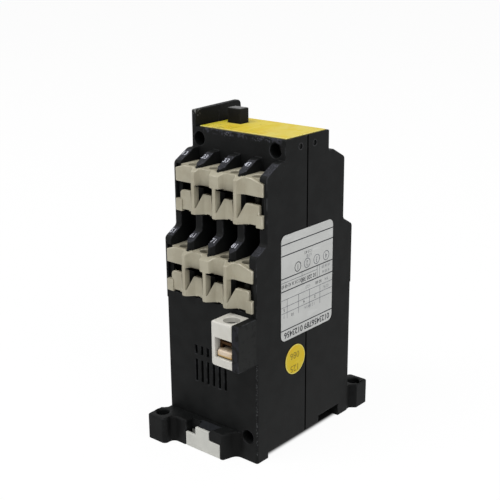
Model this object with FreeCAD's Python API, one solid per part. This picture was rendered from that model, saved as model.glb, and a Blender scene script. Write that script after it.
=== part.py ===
"""Contactor relay with eight contacts on two stepped terminal decks.

Millimetres. The relay stands on its mounting base: +Z is up from the mounting plate, X is the width
and Y the depth. The origin is the centre of the base, on the mounting surface. The case is two half
shells that meet at y = 0. The rear end is the front end turned half a turn about Z, so each piece of
a terminal end is drawn once, for the front, and turned for the rear.
"""
import FreeCAD, Part
import math
import os

Vector = FreeCAD.Vector

# Case
HALF_WIDTH = 19.0
TOP_REACH = 11.05
UPPER_REACH = 19.7
LOWER_REACH = 24.75
TOP_Z = 101.9
UPPER_SHELF_Z = 95.4
UPPER_SHELF_Y = -13.4
UPPER_LIP_Z = 91.95
LOWER_SLOPE_Z = 71.3
LOWER_LIP_Z = 68.4
LIP_RADIUS = 1.5
SHELF_RADIUS = 2.5
STEP_RADIUS = 0.4
TOP_EDGE_RADIUS = 0.4
CORNER_RADIUS = 0.8
CORNER_TOP_Z = 48.0

# Raised wall along the left edge of the top
SIDE_WALL_FRONT_Z = 107.2
SIDE_WALL_MIDDLE_Z = 107.5
SIDE_WALL_REAR_Z = 107.85
SIDE_WALL_THICKNESS = 1.7
FRONT_WALL_RADIUS = 0.5
REAR_WALL_RADIUS = 1.6

# Rooms inside the case
ROOM_HALF_WIDTH = 16.4
CONTACT_ROOM_Y = 9.3
CONTACT_ROOM_TOP_Z = 95.5
MAGNET_ROOM_Y = 22.4
MAGNET_ROOM_TOP_Z = 50.2
MAGNET_FLOOR_Z = 5.8
CORE_ROOM_HALF_WIDTH = 11.8
CORE_ROOM_Y = 20.0
CORE_ROOM_TOP_Z = 12.6

# Terminal decks: the lower deck is the upper one moved out and down by one step
DECK_STEP_Y = 5.05
DECK_STEP_Z = 25.6
FIN_CENTRES = (-8.75, 0.05, 8.65)
FIN_THICKNESS = 2.8
LEFT_WALL_INNER_X = -16.4
RIGHT_WALL_INNER_X = 16.1
BAY_BACK_Y = -11.05
UPPER_BAY_FLOOR_Z = 82.3
UPPER_BAY_BASE_Z = 78.5
SEAT_Y = -18.65
SEAT_LEFT_X = -18.2
SEAT_RIGHT_X = 17.8
SEAT_BOTTOM_Z = 76.2
SEAT_TOP_Z = 91.55
SEAT_END_TOP_Z = 90.45

# Noses of the fins: each runs out to a thin rib that stands in the guard's notch
NOSE_DEPTH = 2.0
NOSE_DROP = 3.0
NOSE_TAPER = 1.2
RIB_HALF_WIDTH = 0.45
RIB_FRONT_Y = -20.3
RIB_BOTTOM_Z = 89.95
RIB_TOP_Z = 91.7

# Contacts
POLE_CENTRES = (-12.6, -4.2, 4.2, 12.6)
SCREW_CENTRES = (-12.5, -3.75, 4.9, 13.6)
SCREW_Y = -17.0
SCREW_HEAD_RADIUS = 1.7
TERMINAL_SHANK_RADIUS = 1.25
TERMINAL_SHANK_DEPTH = 1.8
TERMINAL_PILOT_RADIUS = 1.7
TERMINAL_PILOT_DEPTH = 2.6
TERMINAL_HEAD_LIFT = 4.3
TERMINAL_HEAD_HEIGHT = 2.4
SLOT_HALF_WIDTH = 0.35
SLOT_DEPTH = 1.1
CLAMP_HALF_WIDTH = 2.2
CLAMP_FRONT = 1.7
CLAMP_LIFT = (3.2, 4.25)
PRESS_FIT = 0.02
STRIP_THICKNESS = 1.0
STRIP_HALF_WIDTH = 2.0
PAD_HALF_WIDTH = 2.2
PAD_FRONT_INSET = 1.2
PAD_BACK = 2.6
STRIP_TIP_Y = -5.4
BUTTON_Y = 6.8
BUTTON_RADIUS = 1.3
BUTTON_HEIGHT = 0.8
BUTTON_ROOT = 0.1
TRAVEL = 4.0
BRIDGE_TRAVEL = 3.0
CLOSED_GAP = 0.05
BRIDGE_HALF_LENGTH = 8.6
BRIDGE_HALF_WIDTH = 1.8
BRIDGE_THICKNESS = 0.8
WINDOW_HALF_WIDTH = 2.2
WINDOW_HEIGHT = 5.7
CROSSBAR_HEIGHT = 2.4

# Guards in front of the terminals, at the upper deck
GUARD_Y = -20.1
GUARD_BACK_Y = -18.8
POST_FRONT_Y = -22.25
GUARD_LEFT_X = -18.1
GUARD_RIGHT_X = 17.7
SILL_HALF_WIDTH = 16.2
BAND_BOTTOM_Z = 85.9
BAND_TOP_Z = 91.3
BAND_LEFT_Z = 90.2
BAND_RIGHT_Z = 89.85
BAND_SLOPE_X = (-14.6, 12.9)
COVER_TOP_Z = 91.45
COVER_THICKNESS = 1.5
COVER_BACK_Y = -11.4
SILL_TOP_Z = 83.3
SILL_BOTTOM_Z = 77.1
SILL_LEFT_RADIUS = 1.2
SILL_RIGHT_RADIUS = 0.5
VALLEY_Z = 78.85
VALLEY_HALF_FOOT = 0.8
VALLEY_HALF_TOP = 2.7
POST_HALF_WIDTH = 0.6
POST_TOP_Z = 90.4
POST_ROOT_DEPTH = 0.15
POST_FLARE = 0.8
POST_FLARE_RADIUS = 1.1
POST_EDGE_RADIUS = 0.3
MIDDLE_POST_HALF_WIDTH = 1.85
MIDDLE_POST_BOTTOM_Z = 86.4
FOOT_HALF_WIDTH = 3.0
FOOT_ROOT_HALF_WIDTH = 3.6
FOOT_ROOT_DEPTH = 0.2
FOOT_BEND_RADIUS = 1.0
FOOT_TIP_RADIUS = 0.7
FOOT_BOTTOM_Z = 76.8
TAB_INNER_X = 15.3
TAB_TOP_Z = 80.3
TAB_BOTTOM_Z = 76.3
TAB_FRONT_Y = -20.4
DRIVER_HOLE_RADIUS = 1.95
FIN_NOTCH_HALF_WIDTH = 0.55
FIN_NOTCH_Y = -20.4
FIN_NOTCH_Z = 89.8

# Mounting base: two diagonal feet, the shelf with the rail latch, and the rail channel
FOOT_SIDE_X = -20.6
FOOT_FRONT_Y = -34.0
FOOT_INNER_X = -12.9
FOOT_FLARE_Y = (-26.35, -27.75)
FLANGE_END_X = 13.0
FLANGE_ROOT = 0.5
SHELF_FRONT_Y = -29.9
SHELF_END_X = 8.8
SHELF_TAPER_X = 10.4
FOOT_FLARE_RADIUS = 0.6
FOOT_CORNER_RADIUS = 0.6
FOOT_INNER_RADIUS = 1.6
SHELF_INNER_RADIUS = 1.8
SHELF_END_RADIUS = 0.9
SHELF_TAPER_RADIUS = 2.4
BASE_TOP_Z = 9.0
FOOT_HOLE_X = -17.5
FOOT_HOLE_Y = -30.0
FOOT_HOLE_RADIUS = 2.15
CHANNEL_FRONT_Y = -19.2
CHANNEL_REAR_Y = 18.8
CHANNEL_ROOF_Z = 2.2
HOOK_LENGTH = 2.6
HOOK_TOP_Z = 1.0
HOOK_HALF_WIDTH = 8.0
SIDE_NOTCH_X = 12.4
SIDE_NOTCH_Y = 7.5
SIDE_NOTCH_ROOF_Z = 4.4

# Rail latch
LATCH_X = (-7.3, 7.6)
LATCH_BOTTOM_Z = 0.2
LATCH_TOP_Z = 5.1
LATCH_BACK_Y = -19.4
LATCH_NOSE_Y = -16.6
LATCH_NOSE_TOP_Z = 1.0
TONGUE_LEFT_X = -3.05
TONGUE_RIGHT_X = 2.9
TONGUE_TOP_Z = 8.0
TONGUE_THICKNESS = 1.0
LATCH_POCKET_Y = (-28.9, -26.9)
LATCH_POCKET_Z = 2.6
LATCH_WINDOW_HALF_WIDTH = 1.8
LATCH_WINDOW_Y = (-28.3, -21.0)
PEG_HALF_WIDTH = 1.5
PEG_Y = (-28.0, -27.2)
PEG_BOTTOM_Z = 1.0
RAMP_LEFT_X = -3.25
RAMP_BACK_X = 5.1
RAMP_FRONT_X = 3.1
RAMP_BACK_Y = -26.05
RAMP_FRONT_Y = -28.7
RAMP_FRONT_Z = 7.3
NOTCH_LEFT_X = -7.0
NOTCH_BACK_Y = -27.2
SLIDE_CLEARANCE = 0.1

# Coil terminal: a white block behind an ear of the right wall
EAR_INNER_X = 16.4
EAR_FRONT_Y = -33.4
EAR_BOTTOM_Z = 34.4
EAR_TOP_Z = 49.4
EAR_ROOT = 1.2
EAR_RADIUS = 0.35
COIL_BLOCK_LEFT_X = 7.75
COIL_BLOCK_BOTTOM_Z = 34.6
COIL_BLOCK_TOP_Z = 49.1
COIL_BLOCK_RADIUS = 1.2
COIL_CORNER_RADIUS = 1.4
COIL_TOP_RADIUS = 1.1
COIL_CAVE_LEFT_X = 9.6
COIL_CAVE_BACK_Y = -25.9
COIL_CAVE_BOTTOM_Z = 37.5
COIL_CAVE_TOP_Z = 44.0
COIL_SCREW_X = 13.0
COIL_SCREW_Y = -29.3
COIL_HOLE_RADIUS = 2.6
COIL_STRIP_Z = 41.9
COIL_STRIP_THICKNESS = 0.8
COIL_STRIP_HALF_WIDTH = 2.0
COIL_STRIP_Y = (-31.9, -18.5)
COIL_SHANK_RADIUS = 1.5
COIL_SHANK_Z = (41.2, 45.7)
COIL_HEAD_RADIUS = 2.2
COIL_HEAD_Z = (45.5, 47.6)
JAW_Y = (-32.9, -26.6)
JAW_Z = (37.8, 40.1)
JAW_LOW_RADIUS = 0.5
JAW_TOP_RADIUS = 0.9
CAGE_HALF_WIDTH = 3.0
CAGE_INNER_HALF_WIDTH = 2.2
CAGE_HALF_DEPTH = 2.0
CAGE_WALL_BOTTOM_Z = 39.5

# Vent slots in the end wall
VENT_COUNT = 6
VENT_PITCH = 2.48
VENT_CENTRE_X = -0.3
VENT_WIDTH = 0.9
VENT_ROWS = ((21.7, 29.3), (31.2, 34.2))

# Case screws along Y
TOP_SCREW_CENTRES = (-15.9, 15.2)
TOP_SCREW_Z = 98.25
BASE_SCREW_X = 15.1
BASE_SCREW_Z = 8.5
SCREW_BORE_RADIUS = 2.25
SCREW_SHANK_RADIUS = 1.2
CASE_HEAD_RADIUS = 2.1
CASE_HEAD_HEIGHT = 2.0
TOP_SCREW_SEAT_Y = -4.6
BASE_SCREW_SEAT_Y = -9.0
SCREW_BITE = 7.5
SCREW_TIP_GAP = 0.3

# Indicator on the contact carrier, standing out of the top
INDICATOR_X = (-13.4, -7.9)
INDICATOR_Y = (-0.25, 3.8)
INDICATOR_TOP_Z = 107.0
INDICATOR_CLEARANCE = 0.4
INDICATOR_ROOT = 0.3

# Contact carrier
CARRIER_HALF_WIDTH = 16.0
CARRIER_HALF_DEPTH = 3.2
CARRIER_TOP_Z = 95.0
CARRIER_FLANGE_HALF_WIDTH = 14.0
CARRIER_FLANGE_HALF_DEPTH = 5.0
CARRIER_FLANGE_TOP_Z = 49.8
CHEEK_BOTTOM_Z = 41.0
CHEEK_THICKNESS = 2.0
CHEEK_HALF_DEPTH = 3.0

# Magnet
CORE_HALF_THICKNESS = 6.5
CORE_HALF_LENGTH = 19.5
CORE_BOTTOM_Z = 6.5
CORE_BASE_TOP_Z = 12.5
CORE_POLE_Z = 33.0
LEG_INNER_Y = 13.5
MIDDLE_LEG_HALF = 5.0
ARMATURE_POLE_Z = 37.1
ARMATURE_BACK_Z = 41.0
ARMATURE_TOP_Z = 46.3
PIN_RADIUS = 1.2
PIN_Z = 43.8
PIN_CLEARANCE = 0.02
RING_SLOT_Y = (16.0, 16.8)
RING_Z = (31.2, 32.6)
RING_WALL = 0.8
BOBBIN_Z = (12.8, 32.7)
FLANGE_THICKNESS = 1.2
BOBBIN_HALF_X = 13.5
BOBBIN_HALF_Y = 13.1
BOBBIN_BORE_GAP = 0.3
BOBBIN_WALL = 0.9
WINDING_HALF_X = 12.6
WINDING_HALF_Y = 12.2
WINDING_RADIUS = 3.0
CORE_PAD_HALF_WIDTH = 6.0
CORE_PAD_HALF_LENGTH = 18.0

# Springs
RETURN_SPRING_X = 11.5
RETURN_SPRING_RADIUS = 2.4
RETURN_SPRING_WIRE = 0.6
RETURN_SPRING_TURNS = 7
CONTACT_SPRING_RADIUS = 1.4
CONTACT_SPRING_WIRE = 0.35
CONTACT_SPRING_TURNS = 5
LATCH_SPRING_RADIUS = 1.1
LATCH_SPRING_WIRE = 0.3
LATCH_SPRING_TURNS = 4
SPRING_GAP = 0.05

# Labels
LABEL_THICKNESS = 0.3
TOP_LABEL_X = (-16.4, 18.5)
TOP_LABEL_Y = (-10.0, 9.7)
RATING_LABEL_Y = (-13.05, 13.7)
RATING_LABEL_Z = (37.8, 72.6)
RATING_LABEL_RADIUS = 2.1
STICKER_Y = -5.75
STICKER_Z = 29.95
STICKER_RADIUS = 5.0
FOIL_THICKNESS = 0.15

# Moulding marks beside the seam on the right side
DIMPLE_RADIUS = 0.8
DIMPLE_DEPTH = 0.3
DIMPLE_Y = 3.55
DIMPLE_Z = 98.9

# How far joined shapes run into each other, and how far a cutting shape runs past
OVERLAP = 0.5
REACH = 60.0


def box(x, y, z):
    """A box from three (low, high) pairs."""
    size = Vector(x[1] - x[0], y[1] - y[0], z[1] - z[0])
    return Part.makeBox(size.x, size.y, size.z, Vector(x[0], y[0], z[0]))


def slot(x, half, y, z):
    """A box centred on x with the given half width."""
    return box((x - half, x + half), y, z)


def rod_y(x, z, radius, y):
    """A round rod along Y between two y values."""
    return Part.makeCylinder(radius, y[1] - y[0], Vector(x, y[0], z), Vector(0, 1, 0))


def rod_z(x, y, radius, z):
    """A round rod along Z between two z values."""
    return Part.makeCylinder(radius, z[1] - z[0], Vector(x, y, z[0]))


def prism(axis, points, span):
    """A straight prism of an outline: each point is (u, v) or (u, v, corner radius)."""
    place = {
        "x": lambda u, v: Vector(span[0], u, v),
        "y": lambda u, v: Vector(u, span[0], v),
        "z": lambda u, v: Vector(u, v, span[0]),
    }[axis]
    corners = [place(p[0], p[1]) for p in points]
    radii = [p[2] if len(p) > 2 else 0.0 for p in points]
    edges = []
    joints = []
    for i, corner in enumerate(corners):
        before = (corners[i - 1] - corner).normalize()
        after = (corners[(i + 1) % len(corners)] - corner).normalize()
        if radii[i] == 0.0:
            joints.append((corner, None, corner))
            continue
        half = before.getAngle(after) / 2
        run = radii[i] / math.tan(half)
        bisector = (before + after).normalize()
        middle = corner + bisector * (radii[i] / math.sin(half) - radii[i])
        joints.append((corner + before * run, middle, corner + after * run))
    for i, (start, middle, end) in enumerate(joints):
        if middle is not None:
            edges.append(Part.Arc(start, middle, end).toShape())
        following = joints[(i + 1) % len(joints)][0]
        if end.distanceToPoint(following) > 1e-6:
            edges.append(Part.LineSegment(end, following).toShape())
    direction = {"x": Vector(1, 0, 0), "y": Vector(0, 1, 0), "z": Vector(0, 0, 1)}[axis]
    return Part.Face(Part.Wire(edges)).extrude(direction * (span[1] - span[0]))


def joined(shapes):
    """One clean solid from shapes that touch or overlap."""
    return shapes[0].multiFuse(shapes[1:]).removeSplitter()


def carved(shape, tools):
    """The shape with every tool cut out of it."""
    return shape.cut(Part.makeCompound(tools) if len(tools) > 1 else tools[0]).removeSplitter()


def turned(shape):
    """The shape after half a turn about Z."""
    copy = shape.copy()
    copy.rotate(Vector(0, 0, 0), Vector(0, 0, 1), 180)
    return copy


def moved(shape, y, z):
    """A copy of the shape moved in Y and Z."""
    copy = shape.copy()
    copy.translate(Vector(0, y, z))
    return copy


def lowered(shape):
    """A copy of an upper deck shape at the lower deck."""
    return moved(shape, -DECK_STEP_Y, -DECK_STEP_Z)


def save(name, shapes):
    """Write one piece, or a group of separate like pieces, to its own file."""
    shape = shapes[0] if len(shapes) == 1 else Part.makeCompound(shapes)
    shape.exportStep("parts/" + name + ".step")


def coil_spring(radius, wire, turns, length):
    """A round wire spring that stands on z = 0 and is as long as stated over its wire.

    The wire rises in tilted half turns that follow on from each other without a kink.
    """
    step = (length - 2 * wire) / (2 * turns)
    bow = math.hypot(radius, step / 2)
    arcs = []
    for i in range(2 * turns):
        side = 1 if i % 2 == 0 else -1
        start = Vector(side * radius, 0, wire + i * step)
        middle = Vector(0, side * bow, wire + (i + 0.5) * step)
        end = Vector(-side * radius, 0, wire + (i + 1) * step)
        arcs.append(Part.Arc(start, middle, end).toShape())
    section = Part.Wire(Part.Circle(Vector(radius, 0, wire), Vector(0, 1, 0), wire).toShape())
    return Part.Wire(arcs).makePipeShell([section], True, True)


# Case halves

def bays():
    """The (low, high) x of each terminal bay between the walls and fins."""
    half = FIN_THICKNESS / 2
    lows = [LEFT_WALL_INNER_X] + [fin + half for fin in FIN_CENTRES]
    highs = [fin - half for fin in FIN_CENTRES] + [RIGHT_WALL_INNER_X]
    return list(zip(lows, highs))


def case_block():
    """The stepped front half of the case as a solid block."""
    outline = [
        (0, 0),
        (-LOWER_REACH, 0),
        (-LOWER_REACH, LOWER_LIP_Z, LIP_RADIUS),
        (-UPPER_REACH, LOWER_SLOPE_Z, LIP_RADIUS),
        (-UPPER_REACH, UPPER_LIP_Z, LIP_RADIUS),
        (UPPER_SHELF_Y, UPPER_SHELF_Z, SHELF_RADIUS),
        (-TOP_REACH, UPPER_SHELF_Z, STEP_RADIUS),
        (-TOP_REACH, TOP_Z, TOP_EDGE_RADIUS),
        (0, TOP_Z),
    ]
    block = prism("x", outline, (-HALF_WIDTH, HALF_WIDTH))
    return carved(block, [corner_tool(-1), corner_tool(1)])


def fin_noses():
    """The sharp front ends of the fins on both decks."""
    half = FIN_THICKNESS / 2
    noses = []
    for lip_y, lip_z, back_y, back_z in (
        (-UPPER_REACH, UPPER_LIP_Z, UPPER_SHELF_Y, UPPER_SHELF_Z),
        (-LOWER_REACH, LOWER_LIP_Z, -UPPER_REACH, LOWER_SLOPE_Z),
    ):
        rise = NOSE_DEPTH * (back_z - lip_z) / (back_y - lip_y)
        outline = [
            (lip_y, lip_z - NOSE_DROP),
            (lip_y, lip_z),
            (lip_y + NOSE_DEPTH, lip_z + rise),
            (lip_y + NOSE_DEPTH, lip_z - NOSE_DROP),
        ]
        noses += [prism("x", outline, (fin - half, fin + half)) for fin in FIN_CENTRES]
    return noses


def nose_tools():
    """What tapers the front ends of the fins to their ribs, on both decks."""
    half = FIN_THICKNESS / 2
    tools = []
    for lip_y, lip_z in ((-UPPER_REACH, UPPER_LIP_Z), (-LOWER_REACH, LOWER_LIP_Z)):
        for fin in FIN_CENTRES:
            for side in (-1, 1):
                plan = [
                    (fin + side * half, lip_y + NOSE_TAPER),
                    (fin + side * RIB_HALF_WIDTH, lip_y),
                    (fin + side * RIB_HALF_WIDTH, lip_y - 1),
                    (fin + side * half, lip_y - 1),
                ]
                tools.append(prism("z", plan, (lip_z - NOSE_DROP, lip_z + NOSE_DROP)))
    return tools


def ribs():
    """The thin ribs in front of the fins, on both decks."""
    upper = [slot(fin, RIB_HALF_WIDTH, (RIB_FRONT_Y, SEAT_Y + OVERLAP), (RIB_BOTTOM_Z, RIB_TOP_Z))
             for fin in FIN_CENTRES]
    return upper + [lowered(rib) for rib in upper]


def corner_tool(side):
    """What rounds an upright edge of the end wall, on the left (-1) or the right (1)."""
    r = CORNER_RADIUS
    x = sorted((side * (HALF_WIDTH - r), side * (HALF_WIDTH + 1)))
    corner = box(x, (-LOWER_REACH - 1, -LOWER_REACH + r), (-1, CORNER_TOP_Z))
    return corner.cut(rod_z(side * (HALF_WIDTH - r), -LOWER_REACH + r, r, (-2, CORNER_TOP_Z + 1)))


def base_flange():
    """The foot and the shelf in front of the end wall, with the foot's hole."""
    outline = [
        (-HALF_WIDTH + FLANGE_ROOT, -LOWER_REACH + FLANGE_ROOT),
        (-HALF_WIDTH + FLANGE_ROOT, FOOT_FLARE_Y[0]),
        (FOOT_SIDE_X, FOOT_FLARE_Y[1], FOOT_FLARE_RADIUS),
        (FOOT_SIDE_X, FOOT_FRONT_Y, FOOT_CORNER_RADIUS),
        (FOOT_INNER_X, FOOT_FRONT_Y, FOOT_INNER_RADIUS),
        (FOOT_INNER_X, SHELF_FRONT_Y, SHELF_INNER_RADIUS),
        (SHELF_END_X, SHELF_FRONT_Y, SHELF_END_RADIUS),
        (SHELF_TAPER_X, -LOWER_REACH, SHELF_TAPER_RADIUS),
        (FLANGE_END_X, -LOWER_REACH),
        (FLANGE_END_X, -LOWER_REACH + FLANGE_ROOT),
    ]
    flange = prism("z", outline, (0, BASE_TOP_Z))
    return carved(flange, [rod_z(FOOT_HOLE_X, FOOT_HOLE_Y, FOOT_HOLE_RADIUS, (-1, BASE_TOP_Z + 1))])


def ear():
    """The part of the right wall that covers the side of the coil terminal."""
    outline = [
        (-LOWER_REACH + EAR_ROOT, EAR_BOTTOM_Z),
        (EAR_FRONT_Y, EAR_BOTTOM_Z, EAR_RADIUS),
        (EAR_FRONT_Y, EAR_TOP_Z, EAR_RADIUS),
        (-LOWER_REACH + EAR_ROOT, EAR_TOP_Z),
    ]
    return prism("x", outline, (EAR_INNER_X, HALF_WIDTH))


def side_wall(inner_x, outer_x, end_z, corner):
    """Half of the raised wall along one edge of the top, with the height and rounding of its end."""
    outline = [
        (0, TOP_Z - OVERLAP),
        (-TOP_REACH, TOP_Z - OVERLAP),
        (-TOP_REACH, end_z, corner),
        (0, SIDE_WALL_MIDDLE_Z),
    ]
    return prism("x", outline, (inner_x, outer_x))


def room_tools():
    """The inner rooms for the magnet and the contacts."""
    return [
        slot(0, ROOM_HALF_WIDTH, (-MAGNET_ROOM_Y, 1), (CORE_ROOM_TOP_Z, MAGNET_ROOM_TOP_Z)),
        slot(0, CORE_ROOM_HALF_WIDTH, (-CORE_ROOM_Y, 1), (MAGNET_FLOOR_Z, CORE_ROOM_TOP_Z + OVERLAP)),
        slot(0, ROOM_HALF_WIDTH, (-CONTACT_ROOM_Y, 1), (MAGNET_ROOM_TOP_Z - OVERLAP, CONTACT_ROOM_TOP_Z)),
    ]


def deck_tools():
    """Terminal bays, guard seats and contact strip openings of one deck, at the upper deck."""
    tools = []
    for low, high in bays():
        tools.append(box((low, high), (-REACH, BAY_BACK_Y), (UPPER_BAY_FLOOR_Z, UPPER_SHELF_Z + 3)))
    seat_y = (-REACH, SEAT_Y)
    tools.append(box((SEAT_LEFT_X, RIGHT_WALL_INNER_X), seat_y, (SEAT_BOTTOM_Z, SEAT_TOP_Z)))
    tools.append(box((SEAT_LEFT_X, SEAT_RIGHT_X), seat_y, (SEAT_BOTTOM_Z, SEAT_END_TOP_Z)))
    for pole, screw in zip(POLE_CENTRES, SCREW_CENTRES):
        opening = (UPPER_BAY_FLOOR_Z, UPPER_BAY_FLOOR_Z + STRIP_THICKNESS + SLIDE_CLEARANCE)
        tools.append(slot(pole, STRIP_HALF_WIDTH + SLIDE_CLEARANCE, (BAY_BACK_Y - 1, -1), opening))
        pilot = (UPPER_BAY_FLOOR_Z - TERMINAL_PILOT_DEPTH, UPPER_BAY_FLOOR_Z + OVERLAP)
        tools.append(rod_z(screw, SCREW_Y, TERMINAL_PILOT_RADIUS, pilot))
    return tools


def lower_bay_tools():
    """The space over the lower terminals, up to the support of the upper ones."""
    tools = []
    floor = UPPER_BAY_FLOOR_Z - DECK_STEP_Z
    for low, high in bays():
        tools.append(box((low, high), (-REACH, BAY_BACK_Y), (floor, UPPER_BAY_BASE_Z)))
    return tools


def vent_tools():
    """Two rows of upright slots in the end wall."""
    tools = []
    first = VENT_CENTRE_X - VENT_PITCH * (VENT_COUNT - 1) / 2
    for low, high in VENT_ROWS:
        for i in range(VENT_COUNT):
            x = first + i * VENT_PITCH
            tools.append(slot(x, VENT_WIDTH / 2, (-LOWER_REACH - 1, -MAGNET_ROOM_Y + 1), (low, high)))
    return tools


def latch_tools():
    """The slide, tongue slot, finger notch and driver ramp of the rail latch."""
    gap = SLIDE_CLEARANCE
    top = BASE_TOP_Z + 1
    return [
        box((LATCH_X[0] - 3 * gap, LATCH_X[1] + gap), (-REACH, CHANNEL_FRONT_Y + gap),
            (-1, LATCH_TOP_Z + gap)),
        box((TONGUE_LEFT_X - 2 * gap, TONGUE_RIGHT_X + 2 * gap),
            (-REACH, SHELF_FRONT_Y + TONGUE_THICKNESS + 2 * gap), (LATCH_TOP_Z - 1, top)),
        box((NOTCH_LEFT_X, TONGUE_LEFT_X), (-REACH, NOTCH_BACK_Y), (LATCH_TOP_Z - 1, top)),
        driver_ramp(),
    ]


def driver_ramp():
    """The slope cut in the shelf behind the latch's tongue, where a screwdriver can reach it."""
    plan = [
        (RAMP_LEFT_X, RAMP_BACK_Y),
        (RAMP_BACK_X, RAMP_BACK_Y),
        (RAMP_FRONT_X, SHELF_FRONT_Y),
        (RAMP_FRONT_X, SHELF_FRONT_Y - 1),
        (RAMP_LEFT_X, SHELF_FRONT_Y - 1),
    ]
    grade = (BASE_TOP_Z - RAMP_FRONT_Z) / (RAMP_BACK_Y - RAMP_FRONT_Y)
    low_z = BASE_TOP_Z - grade * (RAMP_BACK_Y - SHELF_FRONT_Y + 2)
    side = [
        (SHELF_FRONT_Y - 2, low_z),
        (RAMP_BACK_Y, BASE_TOP_Z),
        (RAMP_BACK_Y, BASE_TOP_Z + 1),
        (SHELF_FRONT_Y - 2, BASE_TOP_Z + 1),
    ]
    return prism("z", plan, (0, BASE_TOP_Z + 2)).common(prism("x", side, (-REACH, REACH)))


def latch_peg():
    """The peg under the shelf that the latch spring pushes against."""
    return slot(0, PEG_HALF_WIDTH, PEG_Y, (PEG_BOTTOM_Z, LATCH_TOP_Z + OVERLAP))


def screw_tools(top_heads):
    """Bores for the case screws: heads or pilot holes at the top, one of each at the base."""
    tip = (-SCREW_BITE - SCREW_TIP_GAP, 1)
    tools = []
    for x in TOP_SCREW_CENTRES:
        if top_heads:
            tools.append(rod_y(x, TOP_SCREW_Z, SCREW_BORE_RADIUS, (-REACH, TOP_SCREW_SEAT_Y)))
            tools.append(rod_y(x, TOP_SCREW_Z, SCREW_SHANK_RADIUS + SLIDE_CLEARANCE, (-REACH, 1)))
        else:
            tools.append(rod_y(-x, TOP_SCREW_Z, SCREW_SHANK_RADIUS + PRESS_FIT, tip))
    tools.append(rod_y(BASE_SCREW_X, BASE_SCREW_Z, SCREW_BORE_RADIUS, (-REACH, BASE_SCREW_SEAT_Y)))
    tools.append(rod_y(BASE_SCREW_X, BASE_SCREW_Z, SCREW_SHANK_RADIUS + SLIDE_CLEARANCE, (-REACH, 1)))
    tools.append(rod_y(-BASE_SCREW_X, BASE_SCREW_Z, SCREW_SHANK_RADIUS + PRESS_FIT, tip))
    return tools


def dimple():
    """A shallow round moulding mark on the right side, beside the seam."""
    start = Vector(HALF_WIDTH - DIMPLE_DEPTH, -DIMPLE_Y, DIMPLE_Z)
    return Part.makeCylinder(DIMPLE_RADIUS, 1, start, Vector(1, 0, 0))


def common_tools():
    """Everything cut from both halves of the case."""
    strip = (COIL_STRIP_Z - SLIDE_CLEARANCE, COIL_STRIP_Z + COIL_STRIP_THICKNESS + SLIDE_CLEARANCE)
    tools = room_tools() + deck_tools() + [lowered(tool) for tool in deck_tools()[len(bays()):]]
    tools += lower_bay_tools() + nose_tools() + vent_tools()
    tools.append(slot(COIL_SCREW_X, COIL_STRIP_HALF_WIDTH + SLIDE_CLEARANCE,
                      (-LOWER_REACH - OVERLAP, -MAGNET_ROOM_Y + 1), strip))
    return tools


def front_case():
    """The front half: raised wall on the left, latch in the shelf, screw heads at the top."""
    wall = side_wall(-HALF_WIDTH, -HALF_WIDTH + SIDE_WALL_THICKNESS, SIDE_WALL_FRONT_Z, FRONT_WALL_RADIUS)
    block = joined([case_block(), base_flange(), ear(), wall] + fin_noses())
    gap = INDICATOR_CLEARANCE
    tools = common_tools() + latch_tools() + screw_tools(True)
    tools.append(box((-REACH, REACH), (CHANNEL_FRONT_Y, 1), (-1, CHANNEL_ROOF_Z)))
    tools.append(box((INDICATOR_X[0] - gap, INDICATOR_X[1] + gap), (INDICATOR_Y[0] - gap, 1),
                     (CONTACT_ROOM_TOP_Z - 1, TOP_Z + 1)))
    tools.append(dimple())
    return joined([carved(block, tools), latch_peg()] + ribs())


def rear_case():
    """The rear half, drawn as a front half and turned: fixed rail hook and the indicator's opening."""
    wall = side_wall(HALF_WIDTH - SIDE_WALL_THICKNESS, HALF_WIDTH, SIDE_WALL_REAR_Z, REAR_WALL_RADIUS)
    block = joined([case_block(), base_flange(), ear(), wall] + fin_noses())
    gap = INDICATOR_CLEARANCE
    opening_x = (-INDICATOR_X[1] - gap, -INDICATOR_X[0] + gap)
    opening_y = (-INDICATOR_Y[1] - gap, 1)
    mirrored_dimple = dimple()
    mirrored_dimple.translate(Vector(-2 * HALF_WIDTH - 1 + 2 * DIMPLE_DEPTH, 0, 0))
    tools = common_tools() + screw_tools(False)
    tools.append(box((-REACH, REACH), (-CHANNEL_REAR_Y, 1), (-1, CHANNEL_ROOF_Z)))
    for x in ((-REACH, -SIDE_NOTCH_X), (SIDE_NOTCH_X, REACH)):
        tools.append(box(x, (-CHANNEL_REAR_Y, -SIDE_NOTCH_Y), (-1, SIDE_NOTCH_ROOF_Z)))
    tools.append(box(opening_x, opening_y, (CONTACT_ROOM_TOP_Z - 1, TOP_Z + 1)))
    tools.append(mirrored_dimple)
    hook_y = (-CHANNEL_REAR_Y - OVERLAP, -CHANNEL_REAR_Y + HOOK_LENGTH)
    hook = slot(0, HOOK_HALF_WIDTH, hook_y, (0, HOOK_TOP_Z))
    return turned(joined([carved(block, tools), hook] + ribs()))


# Guards

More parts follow.
